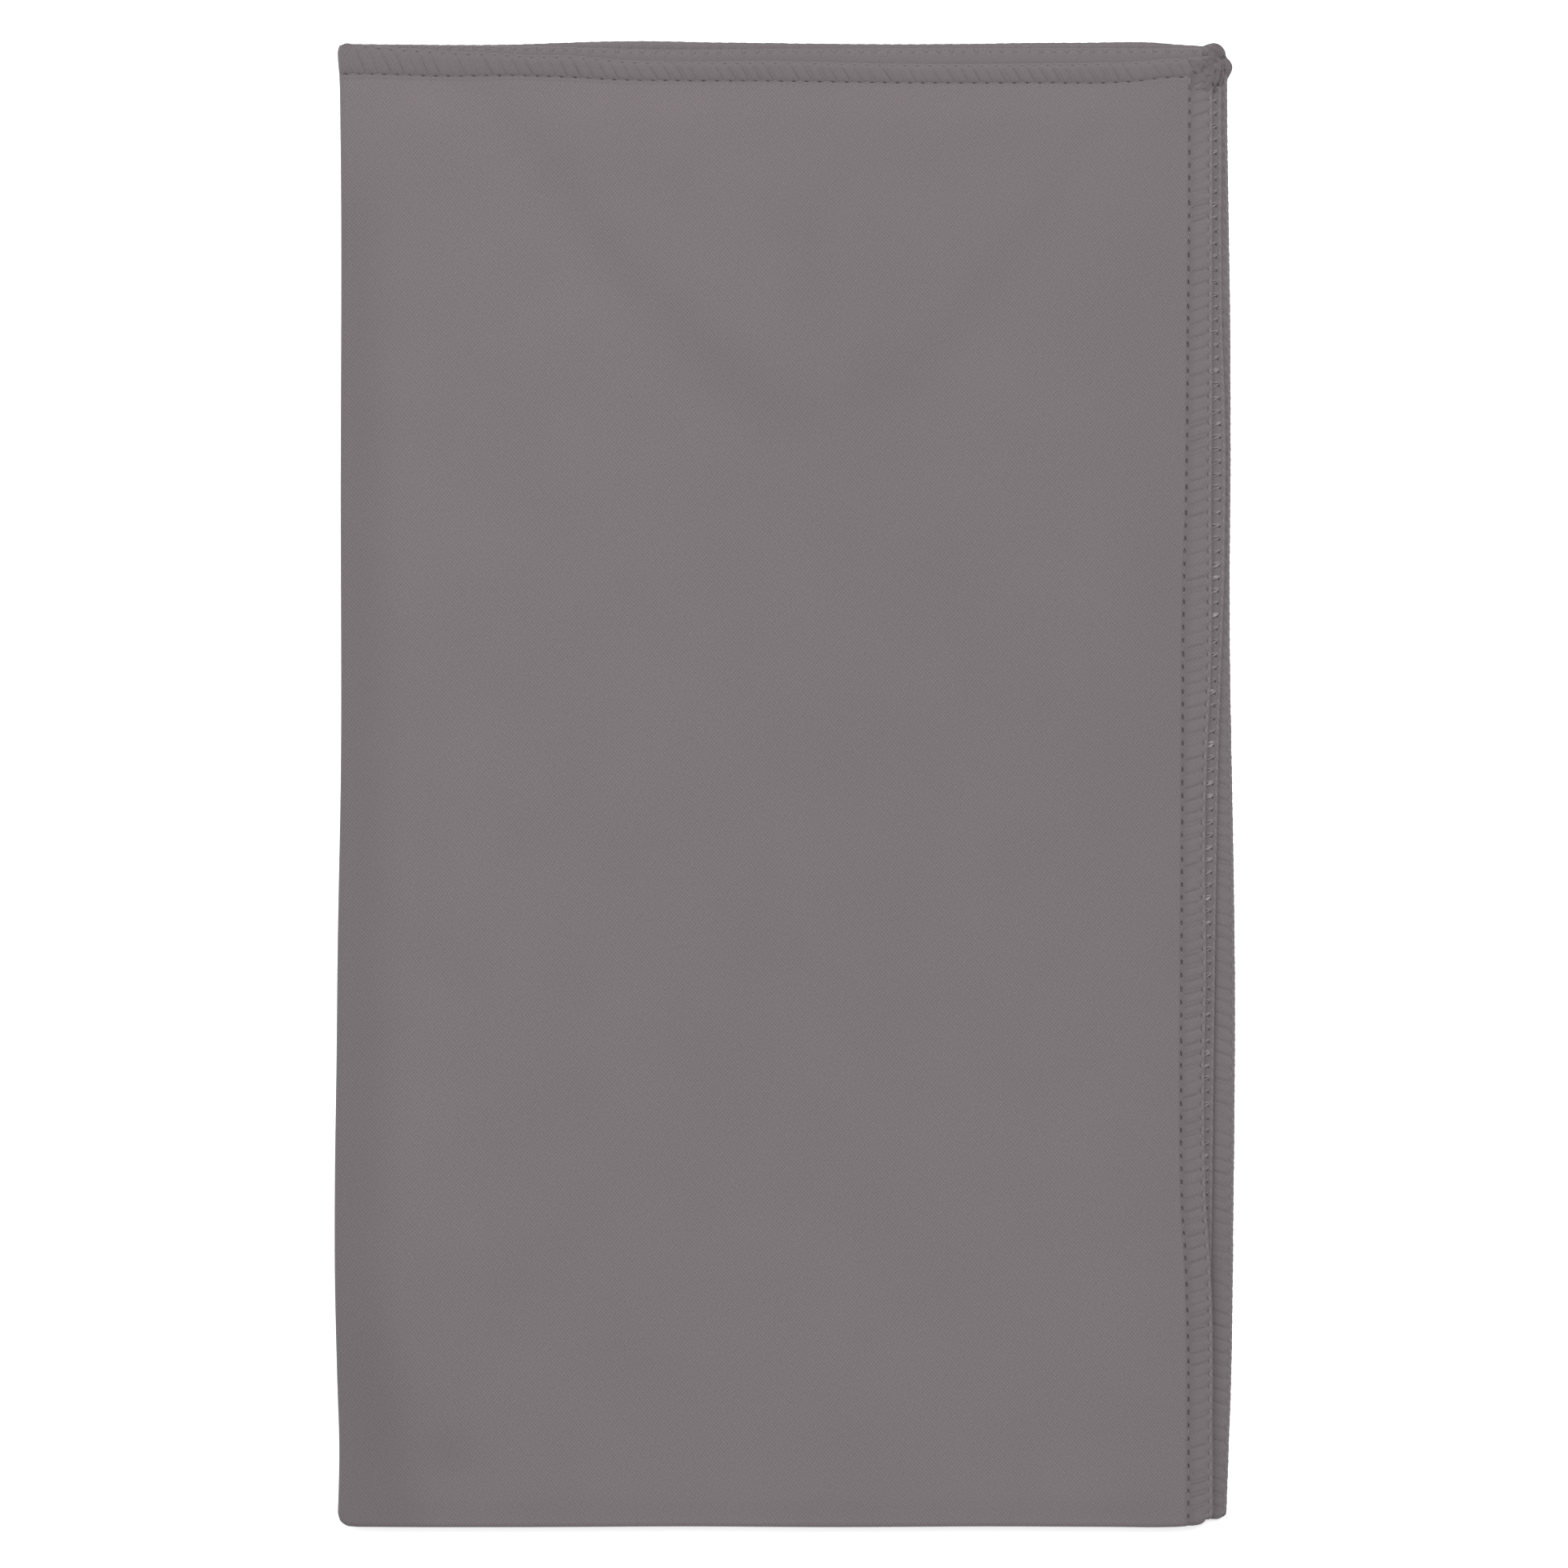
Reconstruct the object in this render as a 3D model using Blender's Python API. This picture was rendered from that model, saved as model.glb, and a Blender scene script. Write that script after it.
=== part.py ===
"""A quick-dry travel towel, folded in four, on its back with the open end towards +Y.

The cloth is one sheet. It is folded once across its length and once across its width, so
four layers lie on each other: front, second, third and back. Each layer is a body of its
own here, and the bent cloth at each fold is a strip between two layers. Two edges of each
layer are hemmed: the end (towards +Y) and the side (towards +X). A hem is a rolled band
with a line of needle stitches on its inner side and a looper thread round its outer edge.

Units are metres. The origin is the middle of the footprint, on the surface it lies on.
"""

import math
from dataclasses import dataclass

import bmesh
import bpy
from mathutils import Matrix, Vector

MM = 0.001

# Overall size of the folded towel.
FOLDED_WIDTH = 191.0 * MM
FOLDED_LENGTH = 317.5 * MM

# Cloth and hem. HEM_RISE is how much thicker the hem is than the cloth.
CLOTH = 0.8 * MM
HEM_RISE = 0.3 * MM
HEM_BAND = 3.3 * MM
NEEDLE_THREAD = 0.4 * MM
LOOPER_THREAD = 0.8 * MM
CORNER_RADIUS = 2.4 * MM
HEM_ROUNDING = 0.25 * MM

# Clearances. GAP is between pieces that touch on the real towel.
GAP = 0.3 * MM

# How far the bottom fold of the back pair lies inside that of the front pair.
BACK_FOLD_INSET = 1.55 * MM

# How far each layer's hemmed edges lie inside the folded outline.
FRONT_SIDE_INSET, FRONT_END_INSET = 4.0 * MM, 4.75 * MM
SECOND_SIDE_INSET, SECOND_END_INSET = 1.2 * MM, 2.15 * MM
THIRD_SIDE_INSET, THIRD_END_INSET = 0.0, 0.25 * MM
BACK_SIDE_INSET, BACK_END_INSET = 1.5 * MM, 0.0

# Roundness of the curved pieces.
THREAD_SIDES = 8
FOLD_STEPS = 12
ROUNDING_STEPS = 2
CORNER_STEPS = 4

# Levels of the four layers, counted from the back one.
HEM_HEIGHT = CLOTH + HEM_RISE
PITCH = HEM_HEIGHT + GAP
BACK, THIRD, SECOND, FRONT = range(4)
STACK = FRONT * PITCH + CLOTH
INNER_FOLD_RADIUS = (PITCH - CLOTH) / 2
PAIR_FOLD_RADIUS = INNER_FOLD_RADIUS + CLOTH
STACK_FOLD_RADIUS = STACK / 2
SEAM_WIDTH = NEEDLE_THREAD + GAP + HEM_BAND + GAP + LOOPER_THREAD

# Fold lines, and the joint axes, which lie between the hems of the layers that they join.
SIDE_FOLD_X = STACK_FOLD_RADIUS - FOLDED_WIDTH / 2
FRONT_FOLD_Y = PAIR_FOLD_RADIUS - FOLDED_LENGTH / 2
BACK_FOLD_Y = FRONT_FOLD_Y + BACK_FOLD_INSET


def floor_of(level):
    """Height of the underside of a layer."""
    return level * PITCH


def joint_height(lower):
    """Height of the axis between a layer and the one above it."""
    return floor_of(lower) + HEM_HEIGHT + GAP / 2


@dataclass(frozen=True)
class Axis:
    """An empty on a fold's axis, which carries the pieces that the fold turns."""

    empty: object
    place: Vector


@dataclass(frozen=True)
class Layer:
    """One layer of the folded cloth, with the fold line at its lower edge."""

    name: str
    level: int
    side_inset: float
    end_inset: float
    fold_y: float

    @property
    def low(self):
        """Height of the layer's underside."""
        return floor_of(self.level)

    @property
    def side_edge(self):
        """X of the hemmed side, the looper thread included."""
        return FOLDED_WIDTH / 2 - self.side_inset

    @property
    def end_edge(self):
        """Y of the hemmed end, the looper thread included."""
        return FOLDED_LENGTH / 2 - self.end_inset


LAYERS = (
    Layer("front", FRONT, FRONT_SIDE_INSET, FRONT_END_INSET, FRONT_FOLD_Y),
    Layer("second", SECOND, SECOND_SIDE_INSET, SECOND_END_INSET, FRONT_FOLD_Y),
    Layer("third", THIRD, THIRD_SIDE_INSET, THIRD_END_INSET, BACK_FOLD_Y),
    Layer("back", BACK, BACK_SIDE_INSET, BACK_END_INSET, BACK_FOLD_Y),
)

CLOTH_FINISH = ((0.208, 0.184, 0.192, 1.0), 0.88)
HEM_FINISH = ((0.215, 0.190, 0.198, 1.0), 0.85)
NEEDLE_FINISH = ((0.150, 0.132, 0.140, 1.0), 0.60)
LOOPER_FINISH = ((0.270, 0.245, 0.255, 1.0), 0.55)


def clear_scene():
    """Removes what the scene held before."""
    for old in list(bpy.data.objects):
        bpy.data.objects.remove(old, do_unlink=True)


def make_material(name, finish):
    """A Principled material of one colour and roughness."""
    colour, roughness = finish
    material = bpy.data.materials.new(name)
    material.use_nodes = True
    shader = material.node_tree.nodes["Principled BSDF"]
    shader.inputs["Base Color"].default_value = colour
    shader.inputs["Roughness"].default_value = roughness
    shader.inputs["Metallic"].default_value = 0.0
    return material


def make_axis(name, place, parent=None):
    """An empty at place, in world coordinates, under another axis or none."""
    empty = bpy.data.objects.new(name, None)
    empty.empty_display_size = 10 * MM
    bpy.context.scene.collection.objects.link(empty)
    place = Vector(place)
    if parent:
        empty.parent = parent.empty
        empty.location = place - parent.place
    else:
        empty.location = place
    return Axis(empty, place)


def add_piece(name, shape, centre, finish, axis):
    """Makes an object of a bmesh that is built round its own centre, and puts it in place."""
    bmesh.ops.recalc_face_normals(shape, faces=shape.faces)
    mesh = bpy.data.meshes.new(name)
    shape.to_mesh(mesh)
    shape.free()
    piece = bpy.data.objects.new(name, mesh)
    bpy.context.scene.collection.objects.link(piece)
    mesh.materials.append(make_material(name + "_finish", finish))
    piece.location = Vector(centre)
    if axis:
        piece.parent = axis.empty
        piece.location = Vector(centre) - axis.place
    return piece


def block(size):
    """A box of this size round the origin."""
    shape = bmesh.new()
    bmesh.ops.create_cube(shape, size=1.0)
    bmesh.ops.scale(shape, vec=Vector(size), verts=shape.verts)
    return shape


def along(shape, direction):
    """The edges of a shape that run along a direction."""
    edges = []
    for edge in shape.edges:
        run = (edge.verts[0].co - edge.verts[1].co).normalized()
        if abs(run.dot(direction)) > 0.999:
            edges.append(edge)
    return edges


def round_edges(shape, edges, radius, steps):
    """Bevels edges to a round of this radius."""
    bmesh.ops.bevel(
        shape, geom=edges, offset=radius, segments=steps, profile=0.5, affect="EDGES",
        clamp_overlap=True, material=-1,
    )


def span(low, high):
    """The middle and the length of a stretch."""
    return (low + high) / 2, high - low


def slab(name, x, y, z, finish, axis, rounded=None):
    """A box between three pairs of limits, its edges along one direction rounded if asked."""
    (mid_x, size_x), (mid_y, size_y), (mid_z, size_z) = span(*x), span(*y), span(*z)
    shape = block((size_x, size_y, size_z))
    if rounded:
        round_edges(shape, along(shape, Vector(rounded)), HEM_ROUNDING, ROUNDING_STEPS)
    return add_piece(name, shape, (mid_x, mid_y, mid_z), finish, axis)


def thread(name, start, end, thickness, finish, axis):
    """A round thread from start to end, which lie along X or along Y."""
    start, end = Vector(start), Vector(end)
    run = end - start
    shape = bmesh.new()
    bmesh.ops.create_cone(
        shape, cap_ends=True, cap_tris=False, segments=THREAD_SIDES,
        radius1=thickness / 2, radius2=thickness / 2, depth=run.length,
    )
    turn = run.to_track_quat("Z", "Y").to_matrix()
    bmesh.ops.rotate(shape, cent=(0, 0, 0), matrix=turn, verts=shape.verts)
    return add_piece(name, shape, (start + end) / 2, finish, axis)


def hem_corner(name, layer, axis):
    """The corner where the end hem is sewn over the side hem, with its outer corner rounded."""
    shape = block((SEAM_WIDTH, SEAM_WIDTH, HEM_HEIGHT))
    outer = []
    for edge in along(shape, Vector((0, 0, 1))):
        if edge.verts[0].co.x > 0 and edge.verts[0].co.y > 0:
            outer.append(edge)
    round_edges(shape, outer, CORNER_RADIUS, CORNER_STEPS)
    half = SEAM_WIDTH / 2
    centre = (layer.side_edge - half, layer.end_edge - half, layer.low + HEM_HEIGHT / 2)
    return add_piece(name, shape, centre, HEM_FINISH, axis)


def bent_strip(name, centre, start, inner, outer, length, line, sweep, axis):
    """Cloth bent round a fold line, from angle start on, and swept about the line by sweep.

    line is the direction of the fold line. The angle is 0 straight above it.
    """
    line = Vector(line)
    shape = bmesh.new()
    across = line * (length / 2)
    up = Vector((0, 0, 1))
    corners = []
    for side, radius in ((-1, inner), (1, inner), (1, outer), (-1, outer)):
        corners.append(shape.verts.new(across * side + up * radius))
    first = shape.faces.new(corners)
    bmesh.ops.spin(
        shape, geom=[first, *first.edges, *first.verts], cent=(0, 0, 0), axis=line,
        angle=sweep, steps=max(2, round(FOLD_STEPS * sweep / math.pi)),
        use_duplicate=False, use_merge=False,
    )
    bmesh.ops.remove_doubles(shape, verts=shape.verts, dist=GAP / 1000)
    turn = Matrix.Rotation(start, 3, line)
    bmesh.ops.rotate(shape, cent=(0, 0, 0), matrix=turn, verts=shape.verts)
    return add_piece(name, shape, centre, CLOTH_FINISH, axis)


def make_layer(layer, axis):
    """The panel, the two hems, the hem corner and the four threads of one layer."""
    left = SIDE_FOLD_X + GAP
    near = layer.fold_y + GAP
    seam_x = layer.side_edge - SEAM_WIDTH
    seam_y = layer.end_edge - SEAM_WIDTH
    panel_z = (layer.low, layer.low + CLOTH)
    hem_z = (layer.low, layer.low + HEM_HEIGHT)
    stop_x, stop_y = seam_x - GAP, seam_y - GAP
    band = NEEDLE_THREAD + GAP
    slab(layer.name + "_panel", (left, stop_x), (near, stop_y), panel_z, CLOTH_FINISH, axis)
    slab(
        layer.name + "_side_hem", (seam_x + band, seam_x + band + HEM_BAND), (near, stop_y),
        hem_z, HEM_FINISH, axis, rounded=(0, 1, 0),
    )
    slab(
        layer.name + "_end_hem", (left, stop_x), (seam_y + band, seam_y + band + HEM_BAND),
        hem_z, HEM_FINISH, axis, rounded=(1, 0, 0),
    )
    hem_corner(layer.name + "_hem_corner", layer, axis)
    for kind, inset, thickness, finish in (
        ("needle_thread", NEEDLE_THREAD / 2, NEEDLE_THREAD, NEEDLE_FINISH),
        ("looper_thread", SEAM_WIDTH - LOOPER_THREAD / 2, LOOPER_THREAD, LOOPER_FINISH),
    ):
        height = layer.low + CLOTH / 2
        x, y = seam_x + inset, seam_y + inset
        side, end = layer.name + "_side_" + kind, layer.name + "_end_" + kind
        thread(side, (x, near, height), (x, stop_y, height), thickness, finish, axis)
        thread(end, (left, y, height), (stop_x, y, height), thickness, finish, axis)


def make_folds(layers, axes):
    """The bent cloth at the two bottom folds and at the inner and outer side folds."""
    front, second, third, back = layers
    half_turn, quarter = math.pi, math.pi / 2
    for name, upper, lower, axis in (
        ("front_bottom_fold", front, second, axes["second"]),
        ("back_bottom_fold", third, back, axes["third"]),
    ):
        edge = min(upper.side_edge, lower.side_edge)
        middle, length = span(SIDE_FOLD_X + GAP, edge)
        centre = (middle, upper.fold_y, lower.low + CLOTH + INNER_FOLD_RADIUS)
        bent_strip(
            name, centre, 0.0, INNER_FOLD_RADIUS, PAIR_FOLD_RADIUS, length, (1, 0, 0),
            half_turn, axis,
        )
    height = STACK / 2
    middle, length = span(third.fold_y + GAP, second.end_edge)
    bent_strip(
        "inner_side_fold", (SIDE_FOLD_X, middle, height), 0.0, INNER_FOLD_RADIUS,
        PAIR_FOLD_RADIUS, length, (0, -1, 0), half_turn, axes["third"],
    )
    inner = STACK_FOLD_RADIUS - CLOTH
    slit = math.asin(GAP / 2 / inner)
    for name, layer, start in (
        ("outer_side_fold_front", front, 0.0),
        ("outer_side_fold_back", back, quarter + slit),
    ):
        middle, length = span(layer.fold_y + GAP, layer.end_edge)
        bent_strip(
            name, (SIDE_FOLD_X, middle, height), start, inner, STACK_FOLD_RADIUS, length,
            (0, -1, 0), quarter - slit, axes[layer.name],
        )


def main():
    """Builds the folded towel."""
    clear_scene()
    side = make_axis("side_fold_axis", (SIDE_FOLD_X, 0, joint_height(THIRD)))
    cuff = make_axis("front_bottom_fold_axis", (0, FRONT_FOLD_Y, joint_height(SECOND)), side)
    bottom = make_axis("bottom_fold_axis", (0, BACK_FOLD_Y, joint_height(BACK)))
    axes = {"front": cuff, "second": side, "third": None, "back": bottom}
    for layer in LAYERS:
        make_layer(layer, axes[layer.name])
    make_folds(LAYERS, axes)


main()
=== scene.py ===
"""Dresses the folded quick-dry towel: brushed cloth, rolled hems, stitching, folds and corners.

Lengths are metres in the frame's own coordinates: +X to the hemmed sides, +Y to the hemmed
ends, +Z up through the four layers. The towel's face side (F) is out on the front layer and
against the table on the back layer; its back side (B) carries the ladder of looper thread.
"""

import logging
import math
from collections.abc import Callable, Sequence
from dataclasses import dataclass, field
from enum import Enum

import bmesh
import bpy
import numpy as np
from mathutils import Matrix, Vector

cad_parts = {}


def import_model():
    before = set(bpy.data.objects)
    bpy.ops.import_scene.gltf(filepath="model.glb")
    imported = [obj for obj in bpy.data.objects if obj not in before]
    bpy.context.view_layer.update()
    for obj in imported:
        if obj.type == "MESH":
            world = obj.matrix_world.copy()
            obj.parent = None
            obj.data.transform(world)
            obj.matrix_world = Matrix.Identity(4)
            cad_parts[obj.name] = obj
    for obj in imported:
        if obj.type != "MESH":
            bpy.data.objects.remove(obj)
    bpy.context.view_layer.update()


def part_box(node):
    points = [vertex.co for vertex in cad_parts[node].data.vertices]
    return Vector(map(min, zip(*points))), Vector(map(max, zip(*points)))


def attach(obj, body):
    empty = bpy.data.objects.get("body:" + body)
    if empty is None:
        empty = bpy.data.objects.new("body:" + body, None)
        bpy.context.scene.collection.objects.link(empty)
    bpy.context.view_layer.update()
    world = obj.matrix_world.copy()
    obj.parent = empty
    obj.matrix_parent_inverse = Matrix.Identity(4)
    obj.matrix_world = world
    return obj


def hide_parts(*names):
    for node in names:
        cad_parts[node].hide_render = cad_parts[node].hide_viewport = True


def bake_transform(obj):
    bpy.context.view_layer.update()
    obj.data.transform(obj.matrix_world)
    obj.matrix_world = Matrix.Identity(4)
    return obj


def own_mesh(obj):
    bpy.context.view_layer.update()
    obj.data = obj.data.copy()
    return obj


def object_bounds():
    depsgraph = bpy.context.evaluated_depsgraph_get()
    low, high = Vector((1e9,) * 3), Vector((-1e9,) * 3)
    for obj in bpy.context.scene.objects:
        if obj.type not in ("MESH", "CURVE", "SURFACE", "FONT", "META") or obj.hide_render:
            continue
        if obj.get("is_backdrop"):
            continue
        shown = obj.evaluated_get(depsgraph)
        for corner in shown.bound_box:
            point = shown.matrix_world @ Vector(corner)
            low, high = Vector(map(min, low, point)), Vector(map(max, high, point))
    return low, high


MM = 0.001
LOG = logging.getLogger("towel")
Curve = Sequence[tuple[float, float]]
Colour = tuple[float, float, float]
Placed = tuple[np.ndarray, dict[str, np.ndarray]]
Shape = Callable[[np.ndarray, np.ndarray], Placed]

# How far a rounded corner fills the sharp one: FULL bulges past a circle, ROUND is almost one.
FULL = 5.0
ROUND = 12.0
# Points closer than SAME_PLACE are one point, and an edge shorter than NO_LENGTH is none.
SAME_PLACE = 1e-7
NO_LENGTH = 1e-8
# Keeps a length from being divided by 0.
TINY = 1e-12


class Side(Enum):
    """Which way a layer's face side looks at rest."""

    FACE_UP = 1
    FACE_DOWN = -1


# ---------------------------------------------------------------- numbers and curves


def ramp(value: np.ndarray, start: float, end: float) -> np.ndarray:
    """A smooth step.

    Args:
        value: Where to read it.
        start: Where it is 0.
        end: Where it is 1; it may be lower than start.

    Returns:
        Numbers from 0 to 1.
    """
    share = np.clip((value - start) / (end - start), 0.0, 1.0)
    return share * share * (3.0 - 2.0 * share)


def bell(value: np.ndarray, width: float) -> np.ndarray:
    """A bump of height 1 round 0, a third of its height at width."""
    return np.exp(-((value / width) ** 2))


def along_curve(points: Curve, at: np.ndarray) -> np.ndarray:
    """Reads a smooth curve through a few points.

    Args:
        points: (place, value) pairs in order, in millimetres.
        at: Places to read it at, in metres.

    Returns:
        The values there, in metres.
    """
    places = np.array([p for p, _ in points]) * MM
    values = np.array([v for _, v in points]) * MM
    slopes = np.gradient(values, places)
    inside = np.clip(at, places[0], places[-1])
    left = np.clip(np.searchsorted(places, inside, side="right") - 1, 0, len(places) - 2)
    step = places[left + 1] - places[left]
    t = (inside - places[left]) / step
    start, end = values[left], values[left + 1]
    start_pull, end_pull = slopes[left] * step, slopes[left + 1] * step
    return (
        (2 * t**3 - 3 * t**2 + 1) * start + (t**3 - 2 * t**2 + t) * start_pull
        + (3 * t**2 - 2 * t**3) * end + (t**3 - t**2) * end_pull
    )


def drift(seed: int, at: np.ndarray, pitch: float) -> np.ndarray:
    """Smooth random numbers along a line.

    Args:
        seed: Which line.
        at: Places along it.
        pitch: Distance between the independent values.

    Returns:
        Numbers between -1 and 1.
    """
    size = 4096
    values = np.random.default_rng(seed).uniform(-1.0, 1.0, size)
    place = at / pitch + size / 4
    low = np.floor(place).astype(int)
    t = place - low
    t = t * t * (3.0 - 2.0 * t)
    return values[low % size] * (1.0 - t) + values[(low + 1) % size] * t


def hills(seed: int, x: np.ndarray, y: np.ndarray, pitch: float) -> np.ndarray:
    """Smooth random heights over a plane.

    Args:
        seed: Which field.
        x: First coordinates.
        y: Second coordinates.
        pitch: Distance between the independent values.

    Returns:
        Numbers between -1 and 1.
    """
    size = 256
    values = np.random.default_rng(seed).uniform(-1.0, 1.0, (size, size))
    px, py = x / pitch + size / 2, y / pitch + size / 2
    ix, iy = np.floor(px).astype(int), np.floor(py).astype(int)
    tx, ty = px - ix, py - iy
    tx, ty = tx * tx * (3 - 2 * tx), ty * ty * (3 - 2 * ty)
    lower = values[ix % size, iy % size] * (1 - tx) + values[(ix + 1) % size, iy % size] * tx
    upper = (
        values[ix % size, (iy + 1) % size] * (1 - tx)
        + values[(ix + 1) % size, (iy + 1) % size] * tx
    )
    return lower * (1 - ty) + upper * ty


# ---------------------------------------------------------------- meshes


def grid_piece(name: str, columns: int, rows: int, shape: Shape) -> bpy.types.Object:
    """Makes a closed piece from a square grid whose points are sent to their places.

    Args:
        name: The piece's name.
        columns: Faces across, for the first number that shape takes.
        rows: Faces along, for the second.
        shape: Gives the places and the named attributes of points (u, v) in 0..1; the places
            at u 0 and u 1 are the same, so that the grid becomes a tube.

    Returns:
        The new object, at the origin.
    """
    form = bmesh.new()
    bmesh.ops.create_grid(form, x_segments=columns, y_segments=rows, size=0.5)
    mesh = bpy.data.meshes.new(name)
    form.to_mesh(mesh)
    form.free()
    square = points_of(mesh) + 0.5
    set_points(mesh, *shape(square[:, 0], square[:, 1]))
    close_tube(mesh)
    return add_object(name, mesh)


def add_object(name: str, content: bpy.types.ID) -> bpy.types.Object:
    """Puts a mesh, a light or a camera into the scene, at the origin."""
    made = bpy.data.objects.new(name, content)
    bpy.context.scene.collection.objects.link(made)
    return made


def points_of(mesh: bpy.types.Mesh) -> np.ndarray:
    """The places of a mesh's points, one row each."""
    places = np.empty(len(mesh.vertices) * 3, np.float32)
    mesh.vertices.foreach_get("co", places)
    return places.reshape(-1, 3).astype(float)


def set_points(mesh: bpy.types.Mesh, places: np.ndarray, attributes: dict[str, np.ndarray]) -> None:
    """Moves a mesh's points to new places and gives them named values."""
    mesh.vertices.foreach_set("co", places.astype(np.float32).ravel())
    for key, values in attributes.items():
        kind, slot = ("FLOAT", "value") if values.ndim == 1 else ("FLOAT_VECTOR", "vector")
        layer = mesh.attributes.new(key, kind, "POINT")
        layer.data.foreach_set(slot, values.astype(np.float32).ravel())


def close_tube(mesh: bpy.types.Mesh) -> None:
    """Joins a grid's first column to its last and its shut ends, and turns its faces out."""
    form = bmesh.new()
    form.from_mesh(mesh)
    bmesh.ops.remove_doubles(form, verts=form.verts, dist=SAME_PLACE)
    bmesh.ops.dissolve_degenerate(form, edges=form.edges, dist=NO_LENGTH)
    bmesh.ops.recalc_face_normals(form, faces=form.faces)
    for face in form.faces:
        face.smooth = True
    form.to_mesh(mesh)
    form.free()


def flattened_ring(first: float, last: float, count: int) -> tuple[np.ndarray, np.ndarray]:
    """Stations round a flat sheet: out along one side and home along the other.

    Args:
        first: Where the sheet starts.
        last: Where it ends.
        count: Steps on each side.

    Returns:
        The station of each column, and 1 where it is on the face side or -1 on the back side.
    """
    out = np.linspace(first, last, count + 1)
    places = np.concatenate([out, out[::-1], out[:1]])
    sides = np.concatenate([np.ones(count + 1), -np.ones(count + 1), np.ones(1)])
    return places, sides


def shut_ends(count: int, v: np.ndarray) -> tuple[np.ndarray, np.ndarray]:
    """Spreads a grid's rows so that its first and last ones can close a flattened tube.

    Args:
        count: Faces along the grid, the two closing rows included.
        v: The grid's own coordinate, 0 to 1.

    Returns:
        Each point's share of the way along, and 0 on a closing row or 1 elsewhere.
    """
    row = np.round(v * count)
    share = np.clip((row - 1) / (count - 2), 0.0, 1.0)
    return share, np.where((row == 0) | (row == count), 0.0, 1.0)


def sharpen(piece: bpy.types.Object, angle: float = 50) -> None:
    """Keeps thin rims, past an angle in degrees, from rounding the shade of the broad sides."""
    piece.data.set_sharp_from_angle(angle=math.radians(angle))


def round_corner(points: np.ndarray, corner: tuple[float, float], radius: float,
                 fullness: float = FULL) -> np.ndarray:
    """Rounds off one corner of the outline, seen from above.

    Args:
        points: Places to move, one row each.
        corner: X and Y of the sharp corner; it points away from the middle of the towel.
        radius: The radius it gets.
        fullness: How far it fills the sharp corner: the higher, the closer to a circle.

    Returns:
        The moved places.
    """
    signs = np.sign(np.array(corner))
    centre = np.array(corner) - signs * radius
    away = (points[:, :2] - centre) * signs
    both = (away > 0).all(axis=1)
    length = np.hypot(away[:, 0], away[:, 1]) + TINY
    ways = np.clip(away / length[:, None], 0.0, 1.0)
    share = np.where(both, (ways**fullness).sum(axis=1) ** (1.0 / fullness), 1.0)
    moved = points.copy()
    moved[:, :2] = centre + away * share[:, None] * signs
    return np.where(both[:, None], moved, points)


# ---------------------------------------------------------------- the folded towel


@dataclass(frozen=True)
class Layer:
    """One layer of the folded cloth, with its edges as they lie.

    Attributes:
        name: Its name in the frame.
        side: Which way its face side looks.
        side_needle: X of the side hem's needle line against Y, in millimetres.
        end_needle: Y of the end hem's needle line against X, in millimetres.
        side_width: Width of the side hem's band against Y, in millimetres.
        end_width: Width of the end hem's band against X, in millimetres.
    """

    name: str
    side: Side
    side_needle: Curve
    end_needle: Curve
    side_width: Curve = ((-160, 4.5), (160, 4.5))
    end_width: Curve = ((-100, 4.2), (100, 4.2))

    @property
    def body(self) -> str:
        """The body it rides on."""
        return self.name + "_layer"

    @property
    def middle(self) -> float:
        """Height of the middle of its cloth."""
        low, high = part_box(self.name + "_panel")
        return (low[2] + high[2]) / 2

    @property
    def thickness(self) -> float:
        """Thickness of its cloth."""
        low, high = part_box(self.name + "_panel")
        return high[2] - low[2]

    @property
    def room(self) -> tuple[float, float]:
        """Lowest and highest place that its hems may take."""
        low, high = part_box(self.name + "_side_hem")
        return low[2], high[2]


FRONT = Layer(
    "front", Side.FACE_UP,
    ((-159, 86.4), (-140, 86.4), (-118, 86.3), (-104, 85.9), (-90, 85.1), (-64, 84.8), (-40, 84.9),
     (0, 85.1), (20, 85.2), (40, 85.4), (60, 85.9), (98, 86.3), (130, 86.6), (156, 86.7)),
    ((-97, 151.6), (-88, 151.6), (-72, 151.15), (-58, 151.3), (-47, 151.0), (-34, 150.35),
     (-20, 150.2), (0, 150.1), (22, 149.8), (55, 149.75), (68, 149.75), (74, 150.0), (82, 150.9),
     (96, 150.3)),
    ((-159, 4.65), (-137, 4.65), (-112, 4.75), (-88, 4.6), (-64, 4.5), (-40, 4.8), (-15, 4.45),
     (0, 4.6), (10, 4.9), (21, 5.4), (45, 5.4), (57, 5.0), (82, 4.8), (142, 4.35), (156, 4.3)),
    ((-97, 6.8), (-93, 6.6), (-86, 5.9), (-75, 5.5), (-65, 5.0), (-55, 4.4), (-45, 4.6), (-34, 4.2),
     (0, 4.2), (28, 4.0), (40, 4.0), (60, 4.15), (70, 4.3), (80, 3.9), (96, 3.8)),
)
SECOND = Layer(
    "second", Side.FACE_DOWN,
    ((-159, 86.3), (-127, 86.1), (-92, 86.6), (-58, 87.0), (-15, 87.6), (11, 88.1), (46, 89.2),
     (74, 89.45), (98, 88.8), (148, 88.5), (156, 88.4)),
    ((-97, 153.7), (-60, 153.6), (-45, 153.3), (-30, 152.9), (0, 153.0), (40, 153.1), (96, 153.1)),
)
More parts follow.
